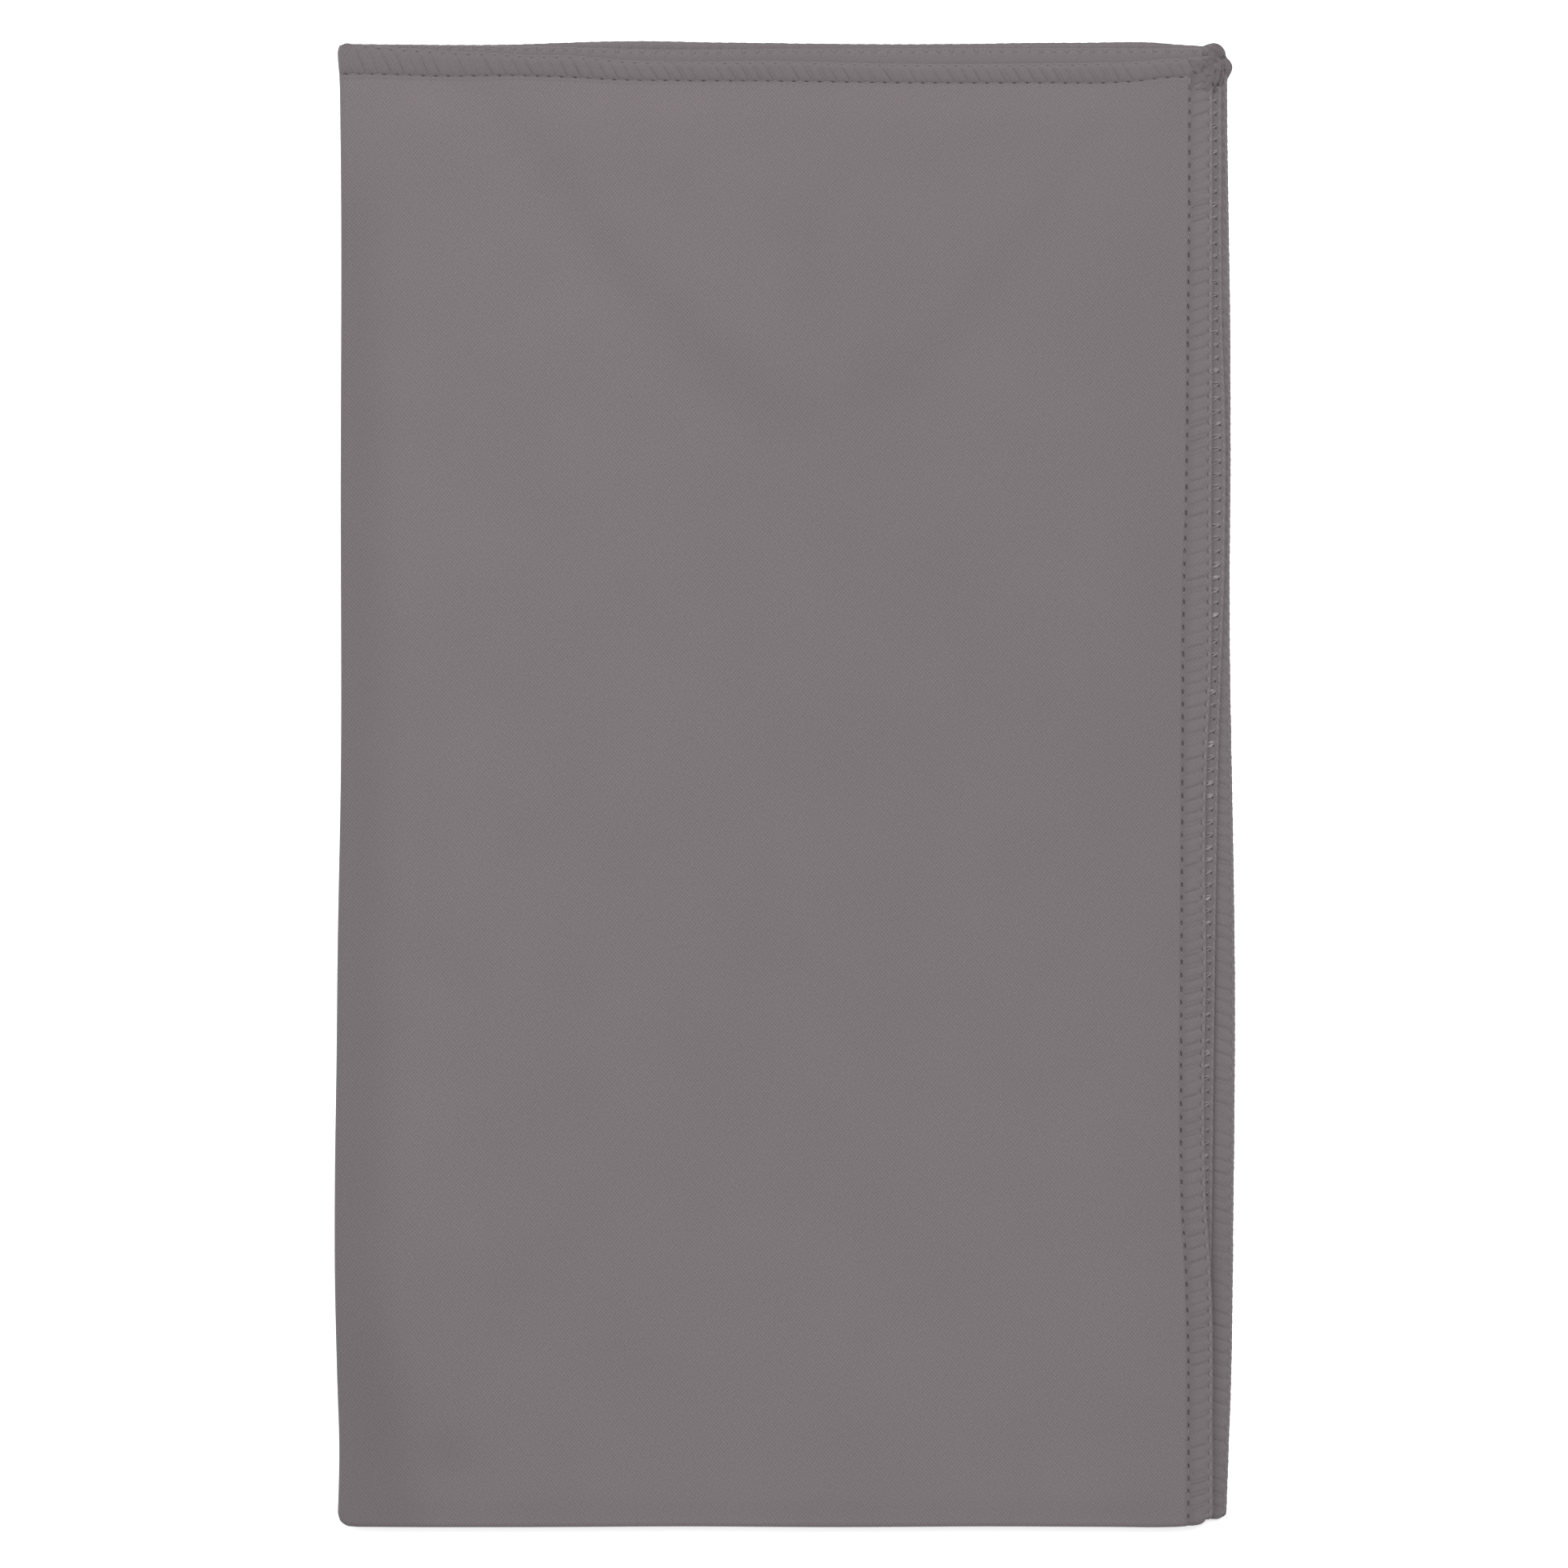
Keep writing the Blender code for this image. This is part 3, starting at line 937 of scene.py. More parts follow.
@dataclass
class ThreadMaker:
    """Builds the needle thread and the looper thread of a seam as twisted threads.

    Attributes:
        needle_radius: Radius of the needle thread.
        side_cord: Radius of the cord along a side hem's edge.
        end_cord: The same along an end hem's.
        rung_radius: Radius of the ladder's rungs where they are thinnest.
        twist_pitch: Length of thread in which its plies turn half round.
        sides: Faces round a thread.
        rows_per_stitch: Faces along it for each stitch.
    """

    needle_radius: float = 0.13 * MM
    side_cord: float = 0.46 * MM
    end_cord: float = 0.27 * MM
    rung_radius: float = 0.20 * MM
    twist_pitch: float = 0.55 * MM
    sides: int = 8
    rows_per_stitch: int = 12

    def tube(self, name: str, seam: Seam, line: Callable, radius: float, ply_depth: float,
             flatness: float = 1.0, swell: float = 0.0) -> bpy.types.Object:
        """A thread along a line that is given in seam coordinates.

        Args:
            name: The piece's name.
            seam: The seam that it belongs to.
            line: Gives (distance, outward, rise, brightness) for distances along the seam.
            radius: The thread's radius.
            ply_depth: Depth of the grooves between its plies, as a share of the radius.
            flatness: Its height as a share of its width.
            swell: How much thicker it is where it is brightest, as a share of the radius.

        Returns:
            The thread.
        """

        def put(u: np.ndarray, v: np.ndarray) -> Placed:
            s = seam.start + v * (seam.stop - seam.start)
            step = 0.02 * MM
            *here_line, bright = line(s)
            here = seam.place(*here_line)
            ahead = seam.place(*line(s + step)[:3])
            run = ahead - here
            run /= np.linalg.norm(run, axis=1)[:, None] + TINY
            side = np.cross(run, np.array(NEARLY_UP))
            side /= np.linalg.norm(side, axis=1)[:, None] + TINY
            up = np.cross(side, run)
            angle = u * math.tau
            twist = angle * 2 - s / self.twist_pitch * math.pi
            r = radius * (1.0 - ply_depth * (0.5 - 0.5 * np.cos(twist)))
            r = r * (1.0 + swell * np.clip(bright, 0.0, 1.0))
            ends = np.minimum(v, 1.0 - v) * (seam.stop - seam.start)
            taper = np.sqrt(np.clip(ends / radius, 0.0, 1.0))
            tall = np.sin(angle) * r * flatness
            offset = side * (np.cos(angle) * r)[:, None] + up * tall[:, None]
            flat = np.stack([angle / math.tau * radius * 6, s, np.zeros_like(s)], axis=1)
            # Painted shade between the plies, scaled by the line's brightness.
            ply = (0.5 + 0.5 * np.cos(twist)) * bright
            points = here + offset * taper[:, None]
            points[:, 2] = np.clip(points[:, 2], *seam.room(here_line[0]))
            return points, {"flat": flat, "ply": ply}

        rows = round((seam.stop - seam.start) / STYLE.pitch * self.rows_per_stitch)
        return grid_piece(name, self.sides, max(rows, 6), put)

    def needle(self, seam: Seam) -> bpy.types.Object:
        """The line of needle stitches, which shows between the holes and sinks at each."""

        def line(s: np.ndarray) -> tuple[np.ndarray, ...]:
            phase = seam.phase(s)
            gap = np.abs(phase - np.round(phase)) * STYLE.pitch
            rise = 0.31 * MM - 0.50 * MM * ramp(gap, 0.62 * MM, 0.35 * MM)
            sway = 0.07 * MM * np.sin(math.tau * phase * 2 + seam.seed)
            if not seam.along_y:
                sway = sway - 0.24 * MM * bell(gap - 0.05 * MM, 0.55 * MM)
                rise = 0.33 * MM - 0.12 * MM * ramp(gap, 0.8 * MM, 0.5 * MM)
            return s, sway, rise, 0.6 + 0.4 * seam.per_stitch(s, 21)

        return self.tube(seam.name + "_needle_thread", seam, line, self.needle_radius, 0.3)

    def edge_cord(self, seam: Seam) -> bpy.types.Object:
        """The looper thread where it runs along the outer edge."""
        radius = self.side_cord if seam.along_y else self.end_cord

        def line(s: np.ndarray) -> tuple[np.ndarray, ...]:
            phase = seam.phase(s + seam.lean * STYLE.width * NOTCH_SHIFT) + 0.5
            wave = np.cos(math.tau * phase)
            out = STYLE.width + (0.13 if seam.along_y else -0.10) * MM - 0.03 * MM * wave
            out = out + 0.025 * MM * drift(seam.seed + 17, s, 4 * MM)
            rise = (0.09 if seam.along_y else 0.0) * MM + 0.05 * MM * np.sin(math.tau * phase + 0.8)
            return s, out, rise, (0.55 if seam.along_y else 0.1) + 0.2 * wave

        return self.tube(seam.name + "_looper_thread", seam, line, radius, 0.10, 0.68)

    def ladder(self, seam: Seam) -> bpy.types.Object:
        """The looper thread's rungs over the back side, from the needle line to the edge."""

        def line(s: np.ndarray) -> tuple[np.ndarray, ...]:
            phase = seam.phase(s)
            share = np.abs((phase - np.floor(phase)) * 2 - 1)
            share = share * share * (3 - 2 * share)
            reach = STYLE.width - 0.35 * MM
            loose = seam.per_stitch(s, 23) ** 3 * (0.5 + 0.6 * drift(seam.seed + 25, s, 30 * MM))
            out = 0.2 * MM + reach * (1 - share)
            rise = -(STYLE.back_rise + 0.02 * MM) + 0.30 * MM * ramp(out, 3.9 * MM, 4.5 * MM)
            if not seam.along_y:
                rise = rise + 0.08 * MM
            wide = 0.15 + 0.3 * seam.per_stitch(s, 24)
            slide = wide * MM * np.sin(math.tau * phase) + 0.35 * (out - 2 * MM)
            middle = 3.15 * MM + 0.3 * MM * drift(seam.seed + 26, s, 6 * MM)
            speckle = 0.75 + 0.5 * drift(seam.seed + 27, s + 3 * out, 0.5 * MM)
            # Painted glints: round the middle of the rungs the thread is drawn lighter, with random
            # speckle.
            painted_glint = bell(out - middle, 0.42 * MM) * speckle
            return s + slide, out, rise, -0.1 + 2.0 * np.clip(loose + 0.25, 0.0, 1.0) * painted_glint

        radius = self.rung_radius * (1.0 if seam.along_y else 0.6)
        return self.tube(seam.name + "_ladder_thread", seam, line, radius, 0.3, 0.6, 1.6)


# ---------------------------------------------------------------- cloth


# Curves on the front layer, in millimetres: where it rises beside the side fold (X against Y),
# where its painted shade beside the side fold starts (X against Y), and the soft valley across
# its upper part (Y against X).
LEFT_RISE = ((-160, -80), (-120, -84), (-60, -78), (-10, -76), (60, -82), (160, -88))
PAINTED_SHADE_EDGE = ((-160, -74), (-120, -80), (-60, -81), (0, -82), (90, -83), (160, -84))
VALLEY = ((-72, 152), (-62, 144), (-52, 133), (-43, 121), (-33, 107), (-24, 98), (-14, 88),
          (-3, 80), (12, 80), (24, 86), (34, 93), (43, 105), (53, 117), (64, 133), (78, 150))
# Where its swells end: X at the side hem, Y at the end hem and Y at the bottom fold.
SWELL_RIGHT = 86.4 * MM
SWELL_TOP = 150.5 * MM
SWELL_BOTTOM = -157.6 * MM


@dataclass
class ClothMaker:
    """Builds the broad cloth of the layers, each sheet with the fold it turns round.

    Attributes:
        across_step: Distance between points across a sheet.
        along_step: Distance between points along it.
        near_fold: How far before a fold the points lie closer.
        near_step: Their distance there.
        fold_rows: Steps round a fold.
        tuck: How far a sheet's edge lies inside the needle line, under the hem's band.
        end_reach: Length over which a sheet's rows bend to follow the hem.
        quarter_columns: Steps of half the outer side fold.
    """

    across_step: float = 2.0 * MM
    along_step: float = 2.2 * MM
    near_fold: float = 4.8 * MM
    near_step: float = 0.3 * MM
    fold_rows: int = 16
    tuck: float = 0.5 * MM
    end_reach: float = 40 * MM
    quarter_columns: int = 14

    def rows(self, path: FoldedPath, stop: float) -> np.ndarray:
        """Distances along a path: even on the layers, and close together round the fold."""
        near = path.turn_start - self.near_fold
        first = np.linspace(0.0, near, round(near / self.along_step) + 1)
        close = np.linspace(near, path.turn_start, round(self.near_fold / self.near_step) + 1)[1:]
        turn = np.linspace(path.turn_start, path.turn_end, self.fold_rows + 1)[1:]
        rest = stop - path.turn_end
        rows = [first[:1], first, close, turn]
        if rest > 0:
            rows.append(np.linspace(path.turn_end, stop, round(rest / self.along_step) + 1)[1:])
        return np.concatenate([*rows, rows[-1][-1:]])

    def relief(self, x: np.ndarray, y: np.ndarray) -> np.ndarray:
        """Height of the front layer's soft swells and valleys over its flat cloth."""
        swell = 0.30 * MM * (0.5 + 0.5 * hills(41, x, y, 42 * MM))
        swell += 0.16 * MM * (0.5 + 0.5 * hills(42, x + 0.3 * y, y, 19 * MM))
        left = along_curve(LEFT_RISE, y)
        swell += 0.22 * MM * ramp(x, left - 9 * MM, left + 8 * MM)
        depth = bell(y - along_curve(VALLEY, x), 6.5 * MM) * ramp(np.abs(x), 88 * MM, 60 * MM)
        swell -= 0.20 * MM * depth
        swell -= 0.16 * MM * bell(x - 6 * MM - 0.05 * (y - 0.12), 4 * MM) * bell(y - 0.121, 18 * MM)
        swell -= 0.20 * MM * bell(x + 89 * MM, 3 * MM) * bell(y + 148 * MM, 6 * MM)
        hems = np.minimum(SWELL_RIGHT - x, SWELL_TOP - y)
        swell *= ramp(hems, 0.0, 9 * MM) * ramp(y - SWELL_BOTTOM, -0.5 * MM, 6 * MM)
        swell *= ramp(x - SIDE_FOLD_X, -0.5 * MM, 15 * MM)
        return np.maximum(swell, 0.0)

    def nap(self, x: np.ndarray, y: np.ndarray) -> np.ndarray:
        """Painted shade on the front layer's face, 0 to 1, with random blotches of tone.

        It is darker beside the side fold, along the soft valley and where it crosses, towards the
        side hem, towards the top, at the lower left corner and in a patch there.
        """
        edge = along_curve(PAINTED_SHADE_EDGE, y)
        side = 0.095 * ramp(x, edge + 2 * MM, edge - 9 * MM) * ramp(y, 150 * MM, 110 * MM)
        corner = 0.055 * ramp(x, -58 * MM, -92 * MM) * ramp(y, -88 * MM, -132 * MM)
        patch = 0.07 * bell(x + 72 * MM, 6 * MM) * bell(y + 142 * MM, 5 * MM)
        right = 0.03 * ramp(x, 60 * MM, 86 * MM)
        upper = ramp(y, -130 * MM, 20 * MM) * (0.012 + 0.038 * ramp(x, -60 * MM, 40 * MM))
        valley = bell(y - along_curve(VALLEY, x), 9 * MM) * ramp(np.abs(x), 75 * MM, 45 * MM)
        crossing = bell(x - 5 * MM, 5 * MM) * bell(y - 112 * MM, 14 * MM)
        cloud = 0.012 * (1.0 + hills(61, x, y, 11 * MM)) * ramp(x, 60 * MM, -80 * MM)
        return side + corner + patch + right + cloud + upper + 0.034 * valley + 0.03 * crossing

    def spread(self, name: str, path: FoldedPath, ring: tuple[np.ndarray, np.ndarray],
               stop: float, send: Callable,
               corners: Sequence[tuple[float, float, float]] = ()) -> bpy.types.Object:
        """Makes a closed sheet whose rows follow a path.

        Args:
            name: The piece's name.
            path: The path.
            ring: Stations of the columns, and the side of the cloth that each is on.
            stop: Distance along the path at which the sheet stops.
            send: Gives X, Y, Z, the two flat coordinates and the painted shade of points, for
            their distance along the path, station, side and height over the cloth's middle.
            corners: X, Y and radius of the corners to round.

        Returns:
            The sheet.
        """
        stations, sides = ring
        rows = self.rows(path, stop)

        def put(u: np.ndarray, v: np.ndarray) -> Placed:
            column = np.round(u * (len(stations) - 1)).astype(int)
            row = np.round(v * (len(rows) - 1)).astype(int)
            side = sides[column]
            rise = side * path.first.thickness / 2 * np.where((v == 0) | (v == 1), 0.0, 1.0)
            x, y, z, flat_x, flat_y, shade = send(rows[row], stations[column], side, rise)
            points = np.stack([x + fold_drift_x(x, y), y + fold_drift_y(x, y), z], axis=1)
            for corner_x, corner_y, radius in corners:
                points = round_corner(points, (corner_x, corner_y), radius)
            flat = np.stack([flat_x, flat_y, np.zeros_like(x)], axis=1)
            return points, {"flat": flat, "cavity": shade}

        piece = grid_piece(name, len(stations) - 1, len(rows) - 1, put)
        sharpen(piece)
        return piece

    def by_length(self, name: str, path: FoldedPath, corners: Sequence[tuple[float, float, float]],
                  relief: bool) -> bpy.types.Object:
        """A layer with its bottom fold, from the side fold to the side hem.

        Args:
            name: The piece's name.
            path: Down the layer and round the bottom fold.
            corners: X, Y and radius of the corners at the bottom fold.
            relief: Whether it has the front layer's swells.

        Returns:
            The sheet.
        """
        ring = flattened_ring(0.0, 1.0, round(SHEET_WIDTH / self.across_step))

        def send(s: np.ndarray, station: np.ndarray, _: np.ndarray,
                 rise: np.ndarray) -> tuple[np.ndarray, ...]:
            place, height, lean_along, lean_up = path.walk(s)
            share = path.share(s)
            right = along_curve(path.first.side_needle, place) * (1 - share)
            right = right + along_curve(path.last.side_needle, place) * share - self.tuck
            x = SIDE_FOLD_X + (right - SIDE_FOLD_X) * station
            top = along_curve(path.first.end_needle, x) - self.tuck
            place = place - (path.start - top) * ramp(s, self.end_reach, 0.0)
            y = place + lean_along * rise
            z = height + lean_up * rise
            if not relief:
                return x, y, z, x, path.start - s, np.zeros_like(x)
            z = z + self.relief(x, y) * (1 - share)
            return x, y, z, x, path.start - s, self.nap(x, y)

        return self.spread(name, path, ring, path.turn_end, send, corners)

    def by_width(self, name: str, path: FoldedPath,
                 bottoms: tuple[float, float]) -> bpy.types.Object:
        """The two inner layers with the side fold that joins them.

        Args:
            name: The piece's name.
            path: In along the upper layer, round the fold and out along the lower one.
            bottoms: Y where the upper and the lower layer start.

        Returns:
            The sheet.
        """
        ring = flattened_ring(0.0, 1.0, round(SHEET_LENGTH / self.across_step / 1.3))

        def send(s: np.ndarray, station: np.ndarray, _: np.ndarray,
                 rise: np.ndarray) -> tuple[np.ndarray, ...]:
            place, height, lean_along, lean_up = path.walk(s)
            share = path.share(s)
            top = along_curve(path.first.end_needle, place) * (1 - share)
            top = top + along_curve(path.last.end_needle, place) * share - self.tuck
            low = bottoms[0] * (1 - share) + bottoms[1] * share
            y = low + (top - low) * station
            upper = along_curve(path.first.side_needle, y) - self.tuck
            lower = along_curve(path.last.side_needle, y) - self.tuck
            place = place - (path.start - upper) * ramp(s, self.end_reach, 0.0)
            near_end = ramp(s, path.length - self.end_reach, path.length)
            place = place - (path.end - lower) * near_end
            x = place + lean_along * rise
            return x, y, height + lean_up * rise, path.start - s, y, np.zeros_like(x)

        return self.spread(name, path, ring, path.length, send)

    def side_turn(self, name: str, path: FoldedPath, axis: tuple[float, float],
                  corner: tuple[float, float, float]) -> bpy.types.Object:
        """Half of the outer side fold: a layer's edge with its bottom fold, turned a quarter round.

        Args:
            name: The piece's name.
            path: Down the layer and round its bottom fold.
            axis: X and Z of the side fold's middle line.
            corner: X, Y and radius of the corner at the side fold and the bottom fold.

        Returns:
            The quarter turn.
        """
        ring = flattened_ring(0.0, 0.5, self.quarter_columns)

        def send(s: np.ndarray, station: np.ndarray, side: np.ndarray,
                 rise: np.ndarray) -> tuple[np.ndarray, ...]:
            place, height, lean_along, lean_up = path.walk(s)
            top = along_curve(path.first.end_needle, np.full_like(s, axis[0])) - self.tuck
            place = place - (path.start - top) * ramp(s, self.end_reach, 0.0)
            y = place + lean_along * rise
            radius = height + lean_up * rise - axis[1]
            sideways, up = FULL_BEND.at(station)
            x = axis[0] - sideways * np.abs(radius)
            z = axis[1] + up * radius
            along = station * FULL_BEND.length * OUTER_RADIUS
            # Painted shade: the face side darkens where the fold turns down.
            shade = 0.12 * ramp(station, 0.1, 0.45) * np.where(side > 0, 1.0, 0.0)
            return x, y, z, axis[0] - along, path.start - s, shade + self.nap(x, y)

        return self.spread(name, path, ring, path.turn_end, send, [corner])


@dataclass(frozen=True)
class Crease:
    """A short deep wrinkle of a corner.

    Attributes:
        x: Its middle, in millimetres from the corner's middle.
        y: The same along Y.
        length: Its length, in millimetres.
        angle: Its direction, in degrees from X.
        depth: 1 for the deepest.
    """

    x: float
    y: float
    length: float
    angle: float
    depth: float = 1.0

    def at(self, x: np.ndarray, y: np.ndarray) -> np.ndarray:
        """How deep it is at points given in metres from the corner's middle, up to 1."""
        turn = math.radians(self.angle)
        dx, dy = x - self.x * MM, y - self.y * MM
        run = dx * math.cos(turn) + dy * math.sin(turn)
        off = dy * math.cos(turn) - dx * math.sin(turn) + 90.0 * run**2
        half = self.length / 2 * MM
        along = ramp(np.abs(run), half + 0.25 * MM, half - 0.3 * MM)
        return self.depth * bell(off, 0.2 * MM) * along


@dataclass(frozen=True)
class Lump:
    """Shape of one layer's bunched corner.

    Attributes:
        middle: X and Y of its middle, in millimetres.
        outline: Distance of its outline from the middle against direction, in mm and degrees.
        creases: Its deep wrinkles.
        top: How far it stands over the cloth's middle.
        shade: Painted shade over the whole lump, which makes it darker than the hems where it is
            not creased.
        ruffle: How uneven its outline is, as a share of its size.
    """

    middle: tuple[float, float]
    outline: Curve
    creases: Sequence[Crease]
    top: float
    shade: float
    ruffle: float


LUMPS = {
    "front": Lump(
        (89.2, 151.2),
        ((-180, 2.9), (-150, 3.3), (-120, 4.6), (-100, 6.0), (-80, 6.2), (-60, 4.6), (-30, 3.8),
         (0, 4.2), (25, 4.6), (50, 5.0), (75, 4.7), (100, 4.5), (130, 4.9), (155, 3.8), (180, 2.9)),
        (Crease(-3.3, 2.6, 1.5, -6), Crease(-2.35, -1.2, 1.1, 96), Crease(-0.3, -1.7, 2.0, 28, 0.7),
         Crease(1.6, -3.9, 1.3, 88), Crease(2.4, -1.8, 1.0, 110, 0.9),
         Crease(3.0, 1.0, 0.9, 48, 0.7),
         Crease(0.4, -3.2, 1.6, 20, 0.4), Crease(-1.9, 1.2, 1.7, -42, 0.5),
         Crease(0.2, 1.6, 1.6, 64, 0.35), Crease(1.0, 3.2, 1.5, -20, 0.4),
         Crease(-0.6, -4.6, 1.7, 24, 0.45), Crease(1.4, 0.2, 1.3, 12, 0.3)),
        0.64 * MM, 0.16, 0.07,
    ),
    "second": Lump(
        (90.6, 151.8),
        ((-180, 3.0), (-130, 4.2), (-90, 5.6), (-60, 4.6), (-30, 3.6), (0, 3.5), (30, 4.0),
         (50, 4.4), (70, 4.2), (100, 3.8), (130, 4.2), (160, 3.2), (180, 3.0)),
        (Crease(2.6, 0.5, 1.2, 30), Crease(2.0, -2.4, 1.1, 95), Crease(0.6, 3.4, 1.2, -30, 0.8)),
        0.60 * MM, 0.20, 0.07,
    ),
    "third": Lump(
        (89.5, 152.75),
        ((-180, 2.6), (-135, 3.0), (-90, 3.4), (-60, 4.2), (-35, 5.3), (-10, 6.0), (9, 6.7),
         (20, 6.5), (30, 6.2), (42, 6.76), (55, 6.95), (67, 6.66), (76, 6.1),
         (84, 5.6), (100, 5.3), (120, 4.4), (150, 3.0), (180, 2.6)),
        (Crease(0.6, 4.2, 2.2, -58), Crease(4.6, 2.9, 1.5, 20, 0.7),
         Crease(4.4, 0.2, 1.4, 40, 0.5)),
        0.60 * MM, 0.14, 0.01,
    ),
    "back": Lump(
        (89.2, 152.6),
        ((-180, 2.2), (-135, 2.6), (-90, 3.0), (-60, 3.7), (-35, 4.8), (-10, 5.4), (9, 6.0),
         (20, 5.9), (30, 5.6), (42, 6.1), (55, 6.3), (67, 6.0), (76, 5.5),
         (84, 5.0), (100, 4.8), (120, 3.9), (150, 2.6), (180, 2.2)),
        (Crease(2.0, 1.0, 2.0, 40, 0.6), Crease(-0.5, -1.0, 1.6, -30, 0.5)),
        0.56 * MM, 0.12, 0.01,
    ),
}


@dataclass
class CornerMaker:
    """Builds the bunched corner of a layer where its two hems cross.

    Attributes:
        meridians: Faces round a lump.
        rings: Faces from its top to its bottom.
        bottom: How far it reaches below the cloth's middle.
        slack: How far it may stand out of its layer's room.
        lift_share: How much of the hems' lift it gets.
        field_shift: Where its random heights are read, off their own middle.
    """

    meridians: int = 168
    rings: int = 84
    bottom: float = 0.36 * MM
    slack: float = 0.15 * MM
    lift_share: float = 0.6
    field_shift: float = 0.1

    def make(self, layer: Layer, seed: int) -> bpy.types.Object:
        """Builds a layer's corner.

        Args:
            layer: The layer.
            seed: Picks its random bumps.

        Returns:
            The corner, a closed lump.
        """
        form = bmesh.new()
        bmesh.ops.create_uvsphere(
            form, u_segments=self.meridians, v_segments=self.rings, radius=1.0
        )
        for face in form.faces:
            face.smooth = True
        mesh = bpy.data.meshes.new(layer.name + "_hem_corner")
        form.to_mesh(mesh)
        form.free()
        ball = points_of(mesh)
        lump = LUMPS[layer.name]
        middle_x, middle_y = lump.middle[0] * MM, lump.middle[1] * MM
        angle = np.arctan2(ball[:, 1], ball[:, 0])
        share = np.hypot(ball[:, 0], ball[:, 1])
        reach = along_curve(lump.outline, np.degrees(angle) * MM)
        ring_x = 3 * MM * np.cos(angle) + self.field_shift
        ring_y = 3 * MM * np.sin(angle) + self.field_shift
        ruffle = hills(seed + 12, ring_x, ring_y, 1.0 * MM)
        reach = reach * (1.0 + lump.ruffle * ruffle)
        spread = share**0.8 * reach
        x, y = spread * np.cos(angle), spread * np.sin(angle)
        edge = np.sqrt(np.clip(1 - share**2.6, 0, 1))
        up = ball[:, 2] > 0
        z = np.where(up, edge * lump.top, -edge * self.bottom)
        field_x, field_y = x + self.field_shift, y + self.field_shift
        lumps = hills(seed + 9, field_x, field_y, 1.5 * MM)
        fine = hills(seed + 10, field_x, field_y, 0.62 * MM)
        warp = 0.25 * MM * hills(seed + 11, field_x, field_y, 1.1 * MM)
        folds = np.zeros_like(x)
        for crease in lump.creases:
            folds = np.maximum(folds, crease.at(x + warp, y - warp))
        depth = 0.19 * MM * lumps + 0.10 * MM * fine - 0.26 * MM * folds
        z = z + np.where(up, depth * ramp(share, 1.0, 0.8), 0.0)
        lowest, highest = layer.room
        z = z + layer.middle + STYLE.lift * self.lift_share
        z = np.clip(z, lowest, highest + self.slack)
        places = np.stack([middle_x + x, middle_y + y, z], axis=1)
        # Painted shade: the lump's colour darkens in its creases and hollows, and all over by the
        # lump's shade.
        hollows = np.clip(-lumps, 0, 1) * 0.24 + np.clip(-fine, 0, 1) * 0.14
        cavity = np.where(up, np.clip(folds * 0.6 + hollows + lump.shade, 0, 1), lump.shade)
        flat = np.stack([middle_x + x, middle_y + y, np.zeros_like(x)], axis=1)
        set_points(mesh, places, {"flat": flat, "cavity": cavity})
        return add_object(mesh.name, mesh)


# ---------------------------------------------------------------- finishes


# Directions across the two sets of diagonal ribs, in degrees.
RIB_ANGLES = (38.0, -43.0)
# Colour of the painted shade in slots, creases and hollows, and the studio's white.
PAINTED_SHADE_COLOUR = (0.006, 0.005, 0.006)
WHITE = (1.0, 1.0, 1.0, 1.0)


@dataclass(frozen=True)
class ClothFinish:
    """Fine brushed cloth with a faint crossed diagonal weave.

    Attributes:
        name: The material's name.
        light: Colour of the raised threads.
        dark: Colour between them.
        weave: Pitch of the weave in millimetres.
        relief: Height of the weave's bump, in metres.
        ribs: Strength of the diagonal ribs beside the fuzz.
        roughness: Roughness of the fibres.
        sheen: Weight of the fibres' sheen.
    """

    name: str
    light: Colour
    dark: Colour
    weave: float = 0.58
    relief: float = 0.00010
    ribs: float = 0.62
    roughness: float = 0.9
    sheen: float = 0.08

    def build(self) -> bpy.types.Material:
        """Makes the material."""
        material, shader = principled(self.name, self.roughness, self.sheen)
        shader.inputs["Sheen Roughness"].default_value = 0.6
        tree = material.node_tree
        place = millimetres(tree)
        wobble = noise(tree, place, 0.9, 3.0)
        waves = [wave(tree, place, wobble, angle, self.weave) for angle in RIB_ANGLES]
        patches = noise(tree, place, 1.5, 1.0)
        patch = stretch(tree, patches, 0.36, 0.68, interpolation_type="SMOOTHSTEP")
        chosen = node(tree, "ShaderNodeMix", data_type="FLOAT")
        tree.links.new(patch, chosen.inputs["Factor"])
        tree.links.new(waves[0], chosen.inputs[2])
        tree.links.new(waves[1], chosen.inputs[3])
        fuzz = noise(tree, place, 3.6, 2.0)
        specks = noise(tree, place, 1.7, 3.0)
        broad = noise(tree, place, 0.035, 3.0)
        both = math_node(tree, "ADD", waves[0], waves[1])
        stronger = math_node(tree, "MULTIPLY", chosen.outputs[0], 0.6)
        ribs = math_node(tree, "MULTIPLY_ADD", both, 0.26, stronger)
        ribs = math_node(tree, "MULTIPLY", ribs, self.ribs)
        mixed = math_node(tree, "MULTIPLY_ADD", fuzz, 1.15, ribs)
        mixed = math_node(tree, "MULTIPLY_ADD", specks, 0.45, mixed)
        mixed = math_node(tree, "MULTIPLY_ADD", broad, 0.25, mixed)
        tone = stretch(tree, mixed, 0.45, 1.30 + self.ribs)
        colour = mix_colour(tree, tone, self.dark, self.light)
        # Painted shade: the named value darkens the colour in slots, creases, hollows and along
        # folds; on the front cloth it also holds random blotches of tone.
        shaded = mix_colour(tree, attribute(tree, "cavity").outputs["Fac"], colour, PAINTED_SHADE_COLOUR)
        tree.links.new(shaded, shader.inputs["Base Color"])
        add_bump(tree, shader, mixed, 0.55, self.relief)
        return material


